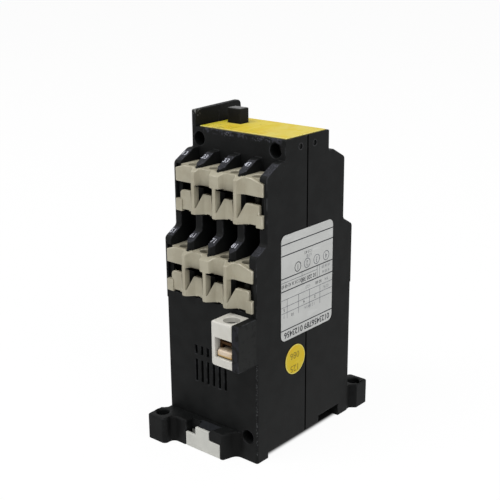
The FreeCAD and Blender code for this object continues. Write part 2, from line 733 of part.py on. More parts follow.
def band():
    """The upper bar of the comb: it swells out to each post and falls away at its ends."""
    outline = [(GUARD_LEFT_X, GUARD_BACK_Y), (GUARD_LEFT_X, GUARD_Y)]
    for fin in FIN_CENTRES:
        half = MIDDLE_POST_HALF_WIDTH if fin == FIN_CENTRES[1] else POST_HALF_WIDTH
        outline += [
            (fin - half - POST_FLARE, GUARD_Y, POST_FLARE_RADIUS),
            (fin - half, POST_FRONT_Y, POST_EDGE_RADIUS),
            (fin + half, POST_FRONT_Y, POST_EDGE_RADIUS),
            (fin + half + POST_FLARE, GUARD_Y, POST_FLARE_RADIUS),
        ]
    outline += [(GUARD_RIGHT_X, GUARD_Y), (GUARD_RIGHT_X, GUARD_BACK_Y)]
    face = [
        (GUARD_LEFT_X, BAND_BOTTOM_Z),
        (GUARD_RIGHT_X, BAND_BOTTOM_Z),
        (GUARD_RIGHT_X, BAND_RIGHT_Z),
        (BAND_SLOPE_X[1], BAND_TOP_Z),
        (BAND_SLOPE_X[0], BAND_TOP_Z),
        (GUARD_LEFT_X, BAND_LEFT_Z),
    ]
    post_slope = [
        (POST_FRONT_Y - 1, POST_TOP_Z),
        (POST_FRONT_Y, POST_TOP_Z),
        (GUARD_Y, BAND_TOP_Z),
        (GUARD_Y, BAND_TOP_Z + 1),
        (POST_FRONT_Y - 1, BAND_TOP_Z + 1),
    ]
    bar = prism("z", outline, (BAND_BOTTOM_Z, BAND_TOP_Z)).common(prism("y", face, (-REACH, 0)))
    middle = FIN_CENTRES[1]
    step = slot(middle, MIDDLE_POST_HALF_WIDTH + POST_FLARE, (-REACH, GUARD_Y), (0, MIDDLE_POST_BOTTOM_Z))
    return carved(bar, [prism("x", post_slope, (-REACH, REACH)), step])


def guard():
    """One moulded comb: band, posts, sill with valleys beside the posts, and covers over the bays."""
    front = (GUARD_Y, GUARD_BACK_Y)
    sill = [
        (-SILL_HALF_WIDTH, SILL_BOTTOM_Z),
        (SILL_HALF_WIDTH, SILL_BOTTOM_Z),
        (SILL_HALF_WIDTH, SILL_TOP_Z, SILL_RIGHT_RADIUS),
        (-SILL_HALF_WIDTH, SILL_TOP_Z, SILL_LEFT_RADIUS),
    ]
    lower = [prism("y", sill, front)]
    valleys = []
    for fin in FIN_CENTRES:
        foot = [
            (fin - FOOT_ROOT_HALF_WIDTH, GUARD_Y + FOOT_ROOT_DEPTH),
            (fin - FOOT_ROOT_HALF_WIDTH, GUARD_Y),
            (fin - FOOT_HALF_WIDTH, GUARD_Y, FOOT_BEND_RADIUS),
            (fin - VALLEY_HALF_FOOT, POST_FRONT_Y, FOOT_TIP_RADIUS),
            (fin + VALLEY_HALF_FOOT, POST_FRONT_Y, FOOT_TIP_RADIUS),
            (fin + FOOT_HALF_WIDTH, GUARD_Y, FOOT_BEND_RADIUS),
            (fin + FOOT_ROOT_HALF_WIDTH, GUARD_Y),
            (fin + FOOT_ROOT_HALF_WIDTH, GUARD_Y + FOOT_ROOT_DEPTH),
        ]
        lower.append(prism("z", foot, (FOOT_BOTTOM_Z, SILL_TOP_Z)))
        valley = [
            (fin - VALLEY_HALF_FOOT, VALLEY_Z),
            (fin + VALLEY_HALF_FOOT, VALLEY_Z),
            (fin + VALLEY_HALF_TOP, SILL_TOP_Z),
            (fin + VALLEY_HALF_TOP, SILL_TOP_Z + 1),
            (fin - VALLEY_HALF_TOP, SILL_TOP_Z + 1),
            (fin - VALLEY_HALF_TOP, SILL_TOP_Z),
        ]
        valleys.append(prism("y", valley, (-REACH, 0)))
    parts = [carved(joined(lower), valleys)]
    parts.append(band())
    for fin in FIN_CENTRES:
        post = (POST_FRONT_Y, GUARD_Y + POST_ROOT_DEPTH)
        parts.append(slot(fin, POST_HALF_WIDTH, post, (SILL_BOTTOM_Z, BAND_BOTTOM_Z + 1)))
    for tab in ((GUARD_LEFT_X, -TAB_INNER_X), (TAB_INNER_X, GUARD_RIGHT_X)):
        parts.append(box(tab, (TAB_FRONT_Y, GUARD_BACK_Y), (TAB_BOTTOM_Z, TAB_TOP_Z)))
    cover_z = (COVER_TOP_Z - COVER_THICKNESS, COVER_TOP_Z)
    for low, high in bays():
        inner = (low + SLIDE_CLEARANCE, high - SLIDE_CLEARANCE)
        parts.append(box(inner, (GUARD_BACK_Y - OVERLAP, COVER_BACK_Y), cover_z))
    tools = [rod_z(screw, SCREW_Y, DRIVER_HOLE_RADIUS, (BAND_BOTTOM_Z, COVER_TOP_Z + 1))
             for screw in SCREW_CENTRES]
    for fin in FIN_CENTRES:
        tools.append(slot(fin, FIN_NOTCH_HALF_WIDTH, (FIN_NOTCH_Y, 0), (FIN_NOTCH_Z, COVER_TOP_Z + 1)))
    return carved(joined(parts), tools)


# Contacts and terminals

def strip(pole, screw, button_below):
    """A fixed contact strip with its terminal pad and its contact button, at the upper deck."""
    z = (UPPER_BAY_FLOOR_Z, UPPER_BAY_FLOOR_Z + STRIP_THICKNESS)
    shift = DECK_STEP_Y if button_below else 0
    pad = (min(pole, screw) - PAD_HALF_WIDTH, max(pole, screw) + PAD_HALF_WIDTH)
    button_z = (z[1] - BUTTON_ROOT, z[1] + BUTTON_HEIGHT)
    if button_below:
        button_z = (z[0] - BUTTON_HEIGHT, z[0] + BUTTON_ROOT)
    body = joined([
        box(pad, (-UPPER_REACH + PAD_FRONT_INSET, SCREW_Y + PAD_BACK), z),
        slot(pole, STRIP_HALF_WIDTH, (SCREW_Y, STRIP_TIP_Y + shift), z),
        rod_z(pole, -BUTTON_Y + shift, BUTTON_RADIUS, button_z),
    ])
    return carved(body, [rod_z(screw, SCREW_Y, TERMINAL_SHANK_RADIUS + PRESS_FIT, (z[0] - 1, z[1] + 1))])


def terminal_screw(screw):
    """A slotted terminal screw standing in its strip, at the upper deck."""
    head_z = UPPER_BAY_FLOOR_Z + TERMINAL_HEAD_LIFT
    top_z = head_z + TERMINAL_HEAD_HEIGHT
    body = joined([
        rod_z(screw, SCREW_Y, TERMINAL_SHANK_RADIUS,
              (UPPER_BAY_FLOOR_Z - TERMINAL_SHANK_DEPTH, head_z + 0.2)),
        rod_z(screw, SCREW_Y, SCREW_HEAD_RADIUS, (head_z, top_z)),
    ])
    return carved(body, [slot(screw, SLOT_HALF_WIDTH, (-REACH, 0), (top_z - SLOT_DEPTH, top_z + 1))])


def clamp_plate(screw):
    """The square plate under a terminal screw's head, at the upper deck."""
    z = (UPPER_BAY_FLOOR_Z + CLAMP_LIFT[0], UPPER_BAY_FLOOR_Z + CLAMP_LIFT[1])
    plate = slot(screw, CLAMP_HALF_WIDTH, (SCREW_Y - CLAMP_FRONT, SCREW_Y + CLAMP_HALF_WIDTH), z)
    return carved(plate, [rod_z(screw, SCREW_Y, TERMINAL_SHANK_RADIUS + CLOSED_GAP, (z[0] - 1, z[1] + 1))])


def upper_bridge_z():
    """Underside of the upper bridges: open by their travel and the closed gap."""
    contact = UPPER_BAY_FLOOR_Z + STRIP_THICKNESS + BUTTON_HEIGHT
    return contact + BRIDGE_TRAVEL + CLOSED_GAP + BUTTON_HEIGHT


def lower_bridge_z():
    """Underside of the lower bridges, which rest closed from below."""
    contact = UPPER_BAY_FLOOR_Z - DECK_STEP_Z - BUTTON_HEIGHT
    return contact - CLOSED_GAP - BUTTON_HEIGHT - BRIDGE_THICKNESS


def bridge(pole, z, buttons_up):
    """A moving contact bridge with a button at each end."""
    top = z + BRIDGE_THICKNESS
    button_z = (top - BUTTON_ROOT, top + BUTTON_HEIGHT)
    if not buttons_up:
        button_z = (z - BUTTON_HEIGHT, z + BUTTON_ROOT)
    parts = [slot(pole, BRIDGE_HALF_WIDTH, (-BRIDGE_HALF_LENGTH, BRIDGE_HALF_LENGTH), (z, top))]
    for side in (-1, 1):
        parts.append(rod_z(pole, side * BUTTON_Y, BUTTON_RADIUS, button_z))
    return joined(parts)


def upper_window():
    """The (low, high) z of the carrier windows that hold the upper bridges."""
    low = upper_bridge_z() - CLOSED_GAP
    return low, low + WINDOW_HEIGHT


def lower_window():
    """The (low, high) z of the carrier windows that hold the lower bridges."""
    return CARRIER_FLANGE_TOP_Z, lower_bridge_z() + BRIDGE_THICKNESS + TRAVEL - BRIDGE_TRAVEL + CLOSED_GAP


def carrier():
    """The moulded contact carrier with the indicator that stands out of the case."""
    inner = CORE_HALF_THICKNESS + SLIDE_CLEARANCE
    cheek = (inner, inner + CHEEK_THICKNESS)
    parts = [
        slot(0, CARRIER_HALF_WIDTH, (-CARRIER_HALF_DEPTH, CARRIER_HALF_DEPTH),
             (CARRIER_FLANGE_TOP_Z - 1, CARRIER_TOP_Z)),
        slot(0, CARRIER_FLANGE_HALF_WIDTH, (-CARRIER_FLANGE_HALF_DEPTH, CARRIER_FLANGE_HALF_DEPTH),
             (ARMATURE_TOP_Z, CARRIER_FLANGE_TOP_Z)),
        box(INDICATOR_X, INDICATOR_Y, (upper_window()[1] + INDICATOR_ROOT, INDICATOR_TOP_Z)),
    ]
    for side in (-1, 1):
        x = sorted((side * cheek[0], side * cheek[1]))
        parts.append(box(x, (-CHEEK_HALF_DEPTH, CHEEK_HALF_DEPTH), (CHEEK_BOTTOM_Z, ARMATURE_TOP_Z + 1)))
    tools = [pin(PIN_CLEARANCE)]
    middle = (lower_window()[1] + CROSSBAR_HEIGHT, upper_window()[0] - CROSSBAR_HEIGHT)
    for pole in POLE_CENTRES:
        for window in (upper_window(), lower_window(), middle):
            tools.append(slot(pole, WINDOW_HALF_WIDTH, (-REACH, REACH), window))
    return carved(joined(parts), tools)


# Magnet

def pin(clearance):
    """The cross pin that holds the armature to the carrier."""
    end = CORE_HALF_THICKNESS + SLIDE_CLEARANCE + CHEEK_THICKNESS
    return Part.makeCylinder(PIN_RADIUS + clearance, 2 * end, Vector(-end, 0, PIN_Z), Vector(1, 0, 0))


def e_shape(back, poles):
    """An E of laminations: the back and three legs that end at the poles."""
    x = (-CORE_HALF_THICKNESS, CORE_HALF_THICKNESS)
    parts = [box(x, (-CORE_HALF_LENGTH, CORE_HALF_LENGTH), back)]
    legs = sorted((back[0], back[1], poles))
    span = (legs[0], legs[-1])
    for y in ((-CORE_HALF_LENGTH, -LEG_INNER_Y), (-MIDDLE_LEG_HALF, MIDDLE_LEG_HALF),
              (LEG_INNER_Y, CORE_HALF_LENGTH)):
        parts.append(box(x, y, span))
    return joined(parts)


def magnet_core():
    """The fixed core with slots in its outer legs for the shading rings."""
    core = e_shape((CORE_BOTTOM_Z, CORE_BASE_TOP_Z), CORE_POLE_Z)
    slots = []
    for side in (-1, 1):
        y = sorted((side * RING_SLOT_Y[0], side * RING_SLOT_Y[1]))
        slots.append(slot(0, CORE_HALF_THICKNESS + 1, y, (RING_Z[0] - CLOSED_GAP, CORE_POLE_Z + 1)))
    return carved(core, slots)


def shading_ring():
    """A shading ring round the outer part of a core leg, at the rear leg."""
    half = CORE_HALF_THICKNESS
    outer = slot(0, half + RING_WALL, (RING_SLOT_Y[0] + PRESS_FIT, CORE_HALF_LENGTH + RING_WALL), RING_Z)
    inner = slot(0, half, (RING_SLOT_Y[1] - PRESS_FIT, CORE_HALF_LENGTH), (RING_Z[0] - 1, RING_Z[1] + 1))
    return carved(outer, [inner])


def bobbin_tube(extra):
    """The bobbin's tube, grown outward by the extra amount."""
    gap = BOBBIN_BORE_GAP + extra
    return (CORE_HALF_THICKNESS + gap, MIDDLE_LEG_HALF + gap)


def bobbin():
    """The coil former: a tube over the middle leg with a flange at each end."""
    inner = bobbin_tube(0)
    outer = bobbin_tube(BOBBIN_WALL)
    parts = [slot(0, outer[0], (-outer[1], outer[1]), BOBBIN_Z)]
    for z in ((BOBBIN_Z[0], BOBBIN_Z[0] + FLANGE_THICKNESS), (BOBBIN_Z[1] - FLANGE_THICKNESS, BOBBIN_Z[1])):
        parts.append(slot(0, BOBBIN_HALF_X, (-BOBBIN_HALF_Y, BOBBIN_HALF_Y), z))
    return carved(joined(parts), [slot(0, inner[0], (-inner[1], inner[1]), (0, REACH))])


def winding():
    """The wound coil between the bobbin's flanges."""
    z = (BOBBIN_Z[0] + FLANGE_THICKNESS, BOBBIN_Z[1] - FLANGE_THICKNESS)
    r = WINDING_RADIUS
    outline = [(-WINDING_HALF_X, -WINDING_HALF_Y, r), (WINDING_HALF_X, -WINDING_HALF_Y, r),
               (WINDING_HALF_X, WINDING_HALF_Y, r), (-WINDING_HALF_X, WINDING_HALF_Y, r)]
    tube = bobbin_tube(BOBBIN_WALL)
    return carved(prism("z", outline, z), [slot(0, tube[0], (-tube[1], tube[1]), (0, REACH))])


# Coil terminal

def coil_block():
    """The white block that houses one coil terminal."""
    outline = [
        (COIL_BLOCK_LEFT_X, -LOWER_REACH),
        (COIL_BLOCK_LEFT_X, EAR_FRONT_Y, COIL_BLOCK_RADIUS),
        (EAR_INNER_X, EAR_FRONT_Y),
        (EAR_INNER_X, -LOWER_REACH),
    ]
    face = [
        (COIL_BLOCK_LEFT_X, COIL_BLOCK_BOTTOM_Z, COIL_CORNER_RADIUS),
        (EAR_INNER_X, COIL_BLOCK_BOTTOM_Z),
        (EAR_INNER_X, COIL_BLOCK_TOP_Z),
        (COIL_BLOCK_LEFT_X, COIL_BLOCK_TOP_Z, COIL_TOP_RADIUS),
    ]
    block = prism("z", outline, (COIL_BLOCK_BOTTOM_Z, COIL_BLOCK_TOP_Z))
    block = block.common(prism("y", face, (-REACH, 0)))
    strip_z = (COIL_STRIP_Z - SLIDE_CLEARANCE, COIL_STRIP_Z + COIL_STRIP_THICKNESS + SLIDE_CLEARANCE)
    return carved(block, [
        box((COIL_CAVE_LEFT_X, REACH), (-REACH, COIL_CAVE_BACK_Y), (COIL_CAVE_BOTTOM_Z, COIL_CAVE_TOP_Z)),
        rod_z(COIL_SCREW_X, COIL_SCREW_Y, COIL_HOLE_RADIUS, (COIL_CAVE_TOP_Z - 1, REACH)),
        slot(COIL_SCREW_X, COIL_STRIP_HALF_WIDTH + SLIDE_CLEARANCE, (COIL_CAVE_BACK_Y - 1, 0), strip_z),
    ])


def coil_clamp():
    """The brass cage that lifts the wire against the coil terminal strip."""
    front, back = JAW_Y
    low, high = JAW_Z
    outline = [(front, low, JAW_LOW_RADIUS), (back, low), (back, high), (front, high, JAW_TOP_RADIUS)]
    jaw = prism("x", outline, (COIL_SCREW_X - CAGE_HALF_WIDTH, COIL_SCREW_X + CAGE_HALF_WIDTH))
    depth = (COIL_SCREW_Y - CAGE_HALF_DEPTH, COIL_SCREW_Y + CAGE_HALF_DEPTH)
    top_z = COIL_CAVE_TOP_Z - SLIDE_CLEARANCE
    strip_top_z = COIL_STRIP_Z + COIL_STRIP_THICKNESS + SLIDE_CLEARANCE
    parts = [jaw, slot(COIL_SCREW_X, CAGE_HALF_WIDTH, depth, (strip_top_z, top_z))]
    for side in (-1, 1):
        x = sorted((COIL_SCREW_X + side * CAGE_INNER_HALF_WIDTH, COIL_SCREW_X + side * CAGE_HALF_WIDTH))
        parts.append(box(x, depth, (CAGE_WALL_BOTTOM_Z, top_z)))
    hole = rod_z(COIL_SCREW_X, COIL_SCREW_Y, COIL_SHANK_RADIUS + PRESS_FIT, (COIL_SHANK_Z[0], REACH))
    return carved(joined(parts), [hole])


def coil_strip():
    """The coil terminal strip, from the cage through the end wall."""
    z = (COIL_STRIP_Z, COIL_STRIP_Z + COIL_STRIP_THICKNESS)
    plate = slot(COIL_SCREW_X, COIL_STRIP_HALF_WIDTH, COIL_STRIP_Y, z)
    hole = rod_z(COIL_SCREW_X, COIL_SCREW_Y, COIL_SHANK_RADIUS + SLIDE_CLEARANCE, (COIL_SHANK_Z[0], REACH))
    return carved(plate, [hole])


def coil_screw():
    """The slotted screw of a coil terminal."""
    body = joined([
        rod_z(COIL_SCREW_X, COIL_SCREW_Y, COIL_SHANK_RADIUS, COIL_SHANK_Z),
        rod_z(COIL_SCREW_X, COIL_SCREW_Y, COIL_HEAD_RADIUS, COIL_HEAD_Z),
    ])
    driver_z = (COIL_HEAD_Z[1] - SLOT_DEPTH, REACH)
    return carved(body, [slot(COIL_SCREW_X, SLOT_HALF_WIDTH, (-REACH, 0), driver_z)])


# Base, screws and labels

def rail_latch():
    """The sliding latch that holds the rail, with its tongue, finger pocket and spring window."""
    top = LATCH_TOP_Z
    parts = [
        box(LATCH_X, (SHELF_FRONT_Y, LATCH_BACK_Y), (LATCH_BOTTOM_Z, top)),
        box(LATCH_X, (LATCH_BACK_Y - 1, LATCH_NOSE_Y), (LATCH_BOTTOM_Z, LATCH_NOSE_TOP_Z)),
        box((TONGUE_LEFT_X, TONGUE_RIGHT_X), (SHELF_FRONT_Y, SHELF_FRONT_Y + TONGUE_THICKNESS),
            (top - 1, TONGUE_TOP_Z)),
    ]
    return carved(joined(parts), [
        slot(0, LATCH_WINDOW_HALF_WIDTH, LATCH_WINDOW_Y, (-1, top + 1)),
        box((LATCH_X[0] - 1, TONGUE_LEFT_X), LATCH_POCKET_Y, (LATCH_POCKET_Z, top + 1)),
    ])


def latch_spring():
    """The spring in the latch's window that pushes the latch towards the rail."""
    length = LATCH_WINDOW_Y[1] - PEG_Y[1] - 2 * SPRING_GAP
    spring = coil_spring(LATCH_SPRING_RADIUS, LATCH_SPRING_WIRE / 2, LATCH_SPRING_TURNS, length)
    spring.rotate(Vector(0, 0, 0), Vector(1, 0, 0), -90)
    return moved(spring, PEG_Y[1] + SPRING_GAP, (LATCH_BOTTOM_Z + LATCH_TOP_Z) / 2)


def case_screw(x, z, seat):
    """A slotted case screw along Y, with its head against the seat."""
    head = (seat - CASE_HEAD_HEIGHT, seat)
    body = joined([
        rod_y(x, z, CASE_HEAD_RADIUS, head),
        rod_y(x, z, SCREW_SHANK_RADIUS, (seat - OVERLAP, SCREW_BITE)),
    ])
    return carved(body, [slot(x, SLOT_HALF_WIDTH, (-REACH, head[0] + SLOT_DEPTH), (z - 3, z + 3))])


def spring_at(x, z, radius, wire, turns):
    """An upright spring at x on the middle plane, between two z values."""
    spring = coil_spring(radius, wire / 2, turns, z[1] - z[0] - 2 * SPRING_GAP)
    spring.translate(Vector(x, 0, z[0] + SPRING_GAP))
    return spring


def top_label():
    """The plate on top, open round the indicator."""
    gap = INDICATOR_CLEARANCE
    plate = box(TOP_LABEL_X, TOP_LABEL_Y, (TOP_Z, TOP_Z + LABEL_THICKNESS))
    opening_x = (INDICATOR_X[0] - gap, INDICATOR_X[1] + gap)
    opening_y = (INDICATOR_Y[0] - gap, INDICATOR_Y[1] + gap)
    return carved(plate, [box(opening_x, opening_y, (TOP_Z - 1, TOP_Z + 1))])


def rating_label():
    """The label on the right side."""
    r = RATING_LABEL_RADIUS
    y0, y1 = RATING_LABEL_Y
    z0, z1 = RATING_LABEL_Z
    outline = [(y0, z0, r), (y1, z0, r), (y1, z1, r), (y0, z1, r)]
    return prism("x", outline, (HALF_WIDTH, HALF_WIDTH + FOIL_THICKNESS))


def sticker():
    """The round sticker under the label."""
    start = Vector(HALF_WIDTH, STICKER_Y, STICKER_Z)
    return Part.makeCylinder(STICKER_RADIUS, FOIL_THICKNESS, start, Vector(1, 0, 0))


def save_case():
    """Case halves, guards, screws and labels."""
    save("housing_front", [front_case()])
    save("housing_rear", [rear_case()])
    upper = guard()
    for name, shape in (("upper", upper), ("lower", lowered(upper))):
        save("guard_" + name + "_front", [shape])
        save("guard_" + name + "_rear", [turned(shape)])
    base_screw = case_screw(BASE_SCREW_X, BASE_SCREW_Z, BASE_SCREW_SEAT_Y)
    top_screws = [case_screw(x, TOP_SCREW_Z, TOP_SCREW_SEAT_Y) for x in TOP_SCREW_CENTRES]
    save("housing_screws", top_screws + [base_screw, turned(base_screw)])
    save("top_label", [top_label()])
    save("rating_label", [rating_label()])
    save("inspection_sticker", [sticker()])
    save("rail_latch", [rail_latch()])
    save("latch_spring", [latch_spring()])


def save_contacts():
    """Strips, terminal screws, bridges and their springs, one deck after the other."""
    screws = []
    plates = []
    for screw in SCREW_CENTRES:
        for shape in (terminal_screw(screw), lowered(terminal_screw(screw))):
            screws += [shape, turned(shape)]
        for shape in (clamp_plate(screw), lowered(clamp_plate(screw))):
            plates += [shape, turned(shape)]
    save("terminal_screws", screws)
    save("clamp_plates", plates)
    springs = {"upper": [], "lower": []}
    for number, (pole, screw) in enumerate(zip(POLE_CENTRES, SCREW_CENTRES), 1):
        upper = strip(pole, screw, False)
        lower = lowered(strip(pole, screw, True))
        for deck, shape in (("upper", upper), ("lower", lower)):
            save("contact_" + deck + "_front_" + str(number), [shape])
            save("contact_" + deck + "_rear_" + str(number), [turned(shape)])
        save("bridge_upper_" + str(number), [bridge(pole, upper_bridge_z(), False)])
        save("bridge_lower_" + str(number), [bridge(pole, lower_bridge_z(), True)])
        spans = {
            "upper": (upper_bridge_z() + BRIDGE_THICKNESS, upper_window()[1]),
            "lower": (lower_window()[0], lower_bridge_z()),
        }
        for deck, span in spans.items():
            springs[deck].append(spring_at(pole, span, CONTACT_SPRING_RADIUS, CONTACT_SPRING_WIRE,
                                           CONTACT_SPRING_TURNS))
    for deck, shapes in springs.items():
        save("contact_springs_" + deck, shapes)


def save_magnet():
    """Carrier, armature, core and coil."""
    save("contact_carrier", [carrier()])
    save("armature_pin", [pin(0)])
    armature = e_shape((ARMATURE_BACK_Z, ARMATURE_TOP_Z), ARMATURE_POLE_Z)
    save("armature", [carved(armature, [pin(PIN_CLEARANCE)])])
    save("magnet_core", [magnet_core()])
    ring = shading_ring()
    save("shading_rings", [ring, turned(ring)])
    pad_y = (-CORE_PAD_HALF_LENGTH, CORE_PAD_HALF_LENGTH)
    save("core_pad", [slot(0, CORE_PAD_HALF_WIDTH, pad_y, (MAGNET_FLOOR_Z, CORE_BOTTOM_Z))])
    save("coil_bobbin", [bobbin()])
    save("coil_winding", [winding()])
    span = (BOBBIN_Z[1], ARMATURE_TOP_Z)
    save("return_springs", [spring_at(side * RETURN_SPRING_X, span, RETURN_SPRING_RADIUS,
                                      RETURN_SPRING_WIRE, RETURN_SPRING_TURNS) for side in (-1, 1)])


def save_coil_terminals():
    """The coil terminal at each end."""
    pieces = {"terminal": coil_block(), "clamp": coil_clamp(), "strip": coil_strip()}
    for name, shape in pieces.items():
        save("coil_" + name + "_front", [shape])
        save("coil_" + name + "_rear", [turned(shape)])
    save("coil_screws", [coil_screw(), turned(coil_screw())])


os.makedirs("parts", exist_ok=True)
save_case()
save_contacts()
save_magnet()
save_coil_terminals()
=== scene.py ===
"""Looks of the contactor relay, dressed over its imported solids.

Metres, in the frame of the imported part: +Z is up from the mounting plate, X is the width and Y the
depth. Each moulded or stamped piece that shows is a merged copy of its solid with rounded edges, and
each finish is a procedural material. Pieces that stay hidden keep their solids and get a finish too.
"""

import logging
import math
from collections.abc import Callable, Iterable
from dataclasses import dataclass, replace
from enum import Enum, IntEnum
from functools import cache

import bmesh
import bpy
from mathutils import Matrix, Vector


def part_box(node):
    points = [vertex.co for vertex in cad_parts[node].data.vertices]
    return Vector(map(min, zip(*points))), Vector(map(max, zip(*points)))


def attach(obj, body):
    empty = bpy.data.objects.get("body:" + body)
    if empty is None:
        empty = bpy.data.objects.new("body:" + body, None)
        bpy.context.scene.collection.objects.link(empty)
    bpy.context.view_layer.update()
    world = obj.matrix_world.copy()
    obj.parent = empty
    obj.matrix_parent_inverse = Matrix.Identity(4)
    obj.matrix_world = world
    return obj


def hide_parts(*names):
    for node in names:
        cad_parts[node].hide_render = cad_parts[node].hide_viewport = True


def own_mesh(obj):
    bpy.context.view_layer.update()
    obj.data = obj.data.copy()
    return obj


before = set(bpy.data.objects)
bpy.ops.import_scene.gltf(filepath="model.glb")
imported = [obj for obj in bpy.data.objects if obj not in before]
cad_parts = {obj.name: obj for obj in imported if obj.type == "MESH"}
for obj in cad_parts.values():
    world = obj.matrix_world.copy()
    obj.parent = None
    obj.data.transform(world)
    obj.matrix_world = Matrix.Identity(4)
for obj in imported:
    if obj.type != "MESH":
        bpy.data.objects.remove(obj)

LOG = logging.getLogger("contactor_relay")
MM = 0.001
# Marks rounded faces, which turn lighter: partly abrasion, partly painted highlight.
EDGE_ATTRIBUTE = "edge_wear"
PLAIN_DETAIL = 2.0
FINE_DETAIL = 3.0
RICH_DETAIL = 4.0

Colour = tuple[float, ...]
Place = tuple[float, ...]
Span = tuple[float, float]
Socket = bpy.types.NodeSocket
Value = Socket | float | str | Place
Node = bpy.types.Node
Material = bpy.types.Material
Piece = bpy.types.Object
Mesh = bmesh.types.BMesh
Face = bmesh.types.BMFace
Edge = bmesh.types.BMEdge

EVEN: Place = (1.0, 1.0, 1.0)
ALONG_X: Place = (12.0, 1.0, 1.0)
ALONG_Z: Place = (1.0, 1.0, 12.0)


class Slot(Enum):
    """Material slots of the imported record."""

    CASE = "case_black"
    CARRIER = "carrier_black"
    GUARD = "guard_beige"
    TERMINAL = "terminal_white"
    LATCH = "latch_grey"
    PLATE = "label_yellow"
    STICKER = "sticker_yellow"
    FOIL = "label_silver"
    BRASS = "brass"
    STEEL = "steel"


class End(Enum):
    """The two terminal ends of the case; the rear one is the front one after half a turn about Z."""

    FRONT = 0.0
    REAR = math.pi

    def turn(self) -> Matrix:
        """The turn that takes a front place to this end."""
        return Matrix.Rotation(self.value, 4, "Z")


class Deck(Enum):
    """The two terminal decks of an end."""

    UPPER = "upper"
    LOWER = "lower"


class CaseFace(IntEnum):
    """The finishes of the case, in the order of its material indices."""

    PLAIN = 0
    SLOPE = 1
    SEAM = 2
    RAMP = 3


def mm(*values: float) -> Place:
    """Millimetres as metres."""
    return tuple(value * MM for value in values)


def linear(share: float) -> float:
    """A display value from 0 to 1 as linear light."""
    return share / 12.92 if share <= 0.04045 else ((share + 0.055) / 1.055) ** 2.4


def srgb(*display: int) -> Colour:
    """A display colour, from 0 to 255 in each channel, as linear light."""
    return tuple(linear(value / 255.0) for value in display)


class Tree:
    """A node tree with short calls for adding nodes."""

    def __init__(self, tree: bpy.types.NodeTree) -> None:
        """Empties a node tree."""
        self.tree = tree
        self.tree.nodes.clear()

    def put(self, target: Socket, value: Value) -> None:
        """Links a socket to an input, or sets a plain value on it.

        Args:
            target: The input.
            value: The socket or the plain value.
        """
        if isinstance(value, Socket):
            self.tree.links.new(value, target)
        else:
            target.default_value = value

    def feed(self, node: Node, *first: Value, **named: Value) -> Node:
        """Fills a node.

        Args:
            node: The node.
            first: What its first inputs get.
            named: What other inputs get, by name with underscores for spaces. A name in small
                letters is a setting of the node itself.

        Returns:
            The same node.
        """
        for index, value in enumerate(first):
            self.put(node.inputs[index], value)
        for name, value in named.items():
            if name.islower():
                setattr(node, name, value)
            else:
                self.put(node.inputs[name.replace("_", " ")], value)
        return node

    def node(self, kind: str, *first: Value, **named: Value) -> Node:
        """Adds a shader node and fills it."""
        return self.feed(self.tree.nodes.new("ShaderNode" + kind), *first, **named)

    def reckon(self, operation: str, first: Value, second: Value) -> Socket:
        """The outcome of a sum with two values."""
        return self.node("Math", first, second, operation=operation).outputs["Value"]

    def seen(self) -> Socket:
        """Tells the rays that show the background: camera, glossy and transmission rays.

        Returns:
            1 for those rays, else 0.
        """
        path = self.node("LightPath")
        total = path.outputs["Is Camera Ray"]
        for name in ("Is Glossy Ray", "Is Transmission Ray"):
            total = self.reckon("MAXIMUM", total, path.outputs[name])
        return total


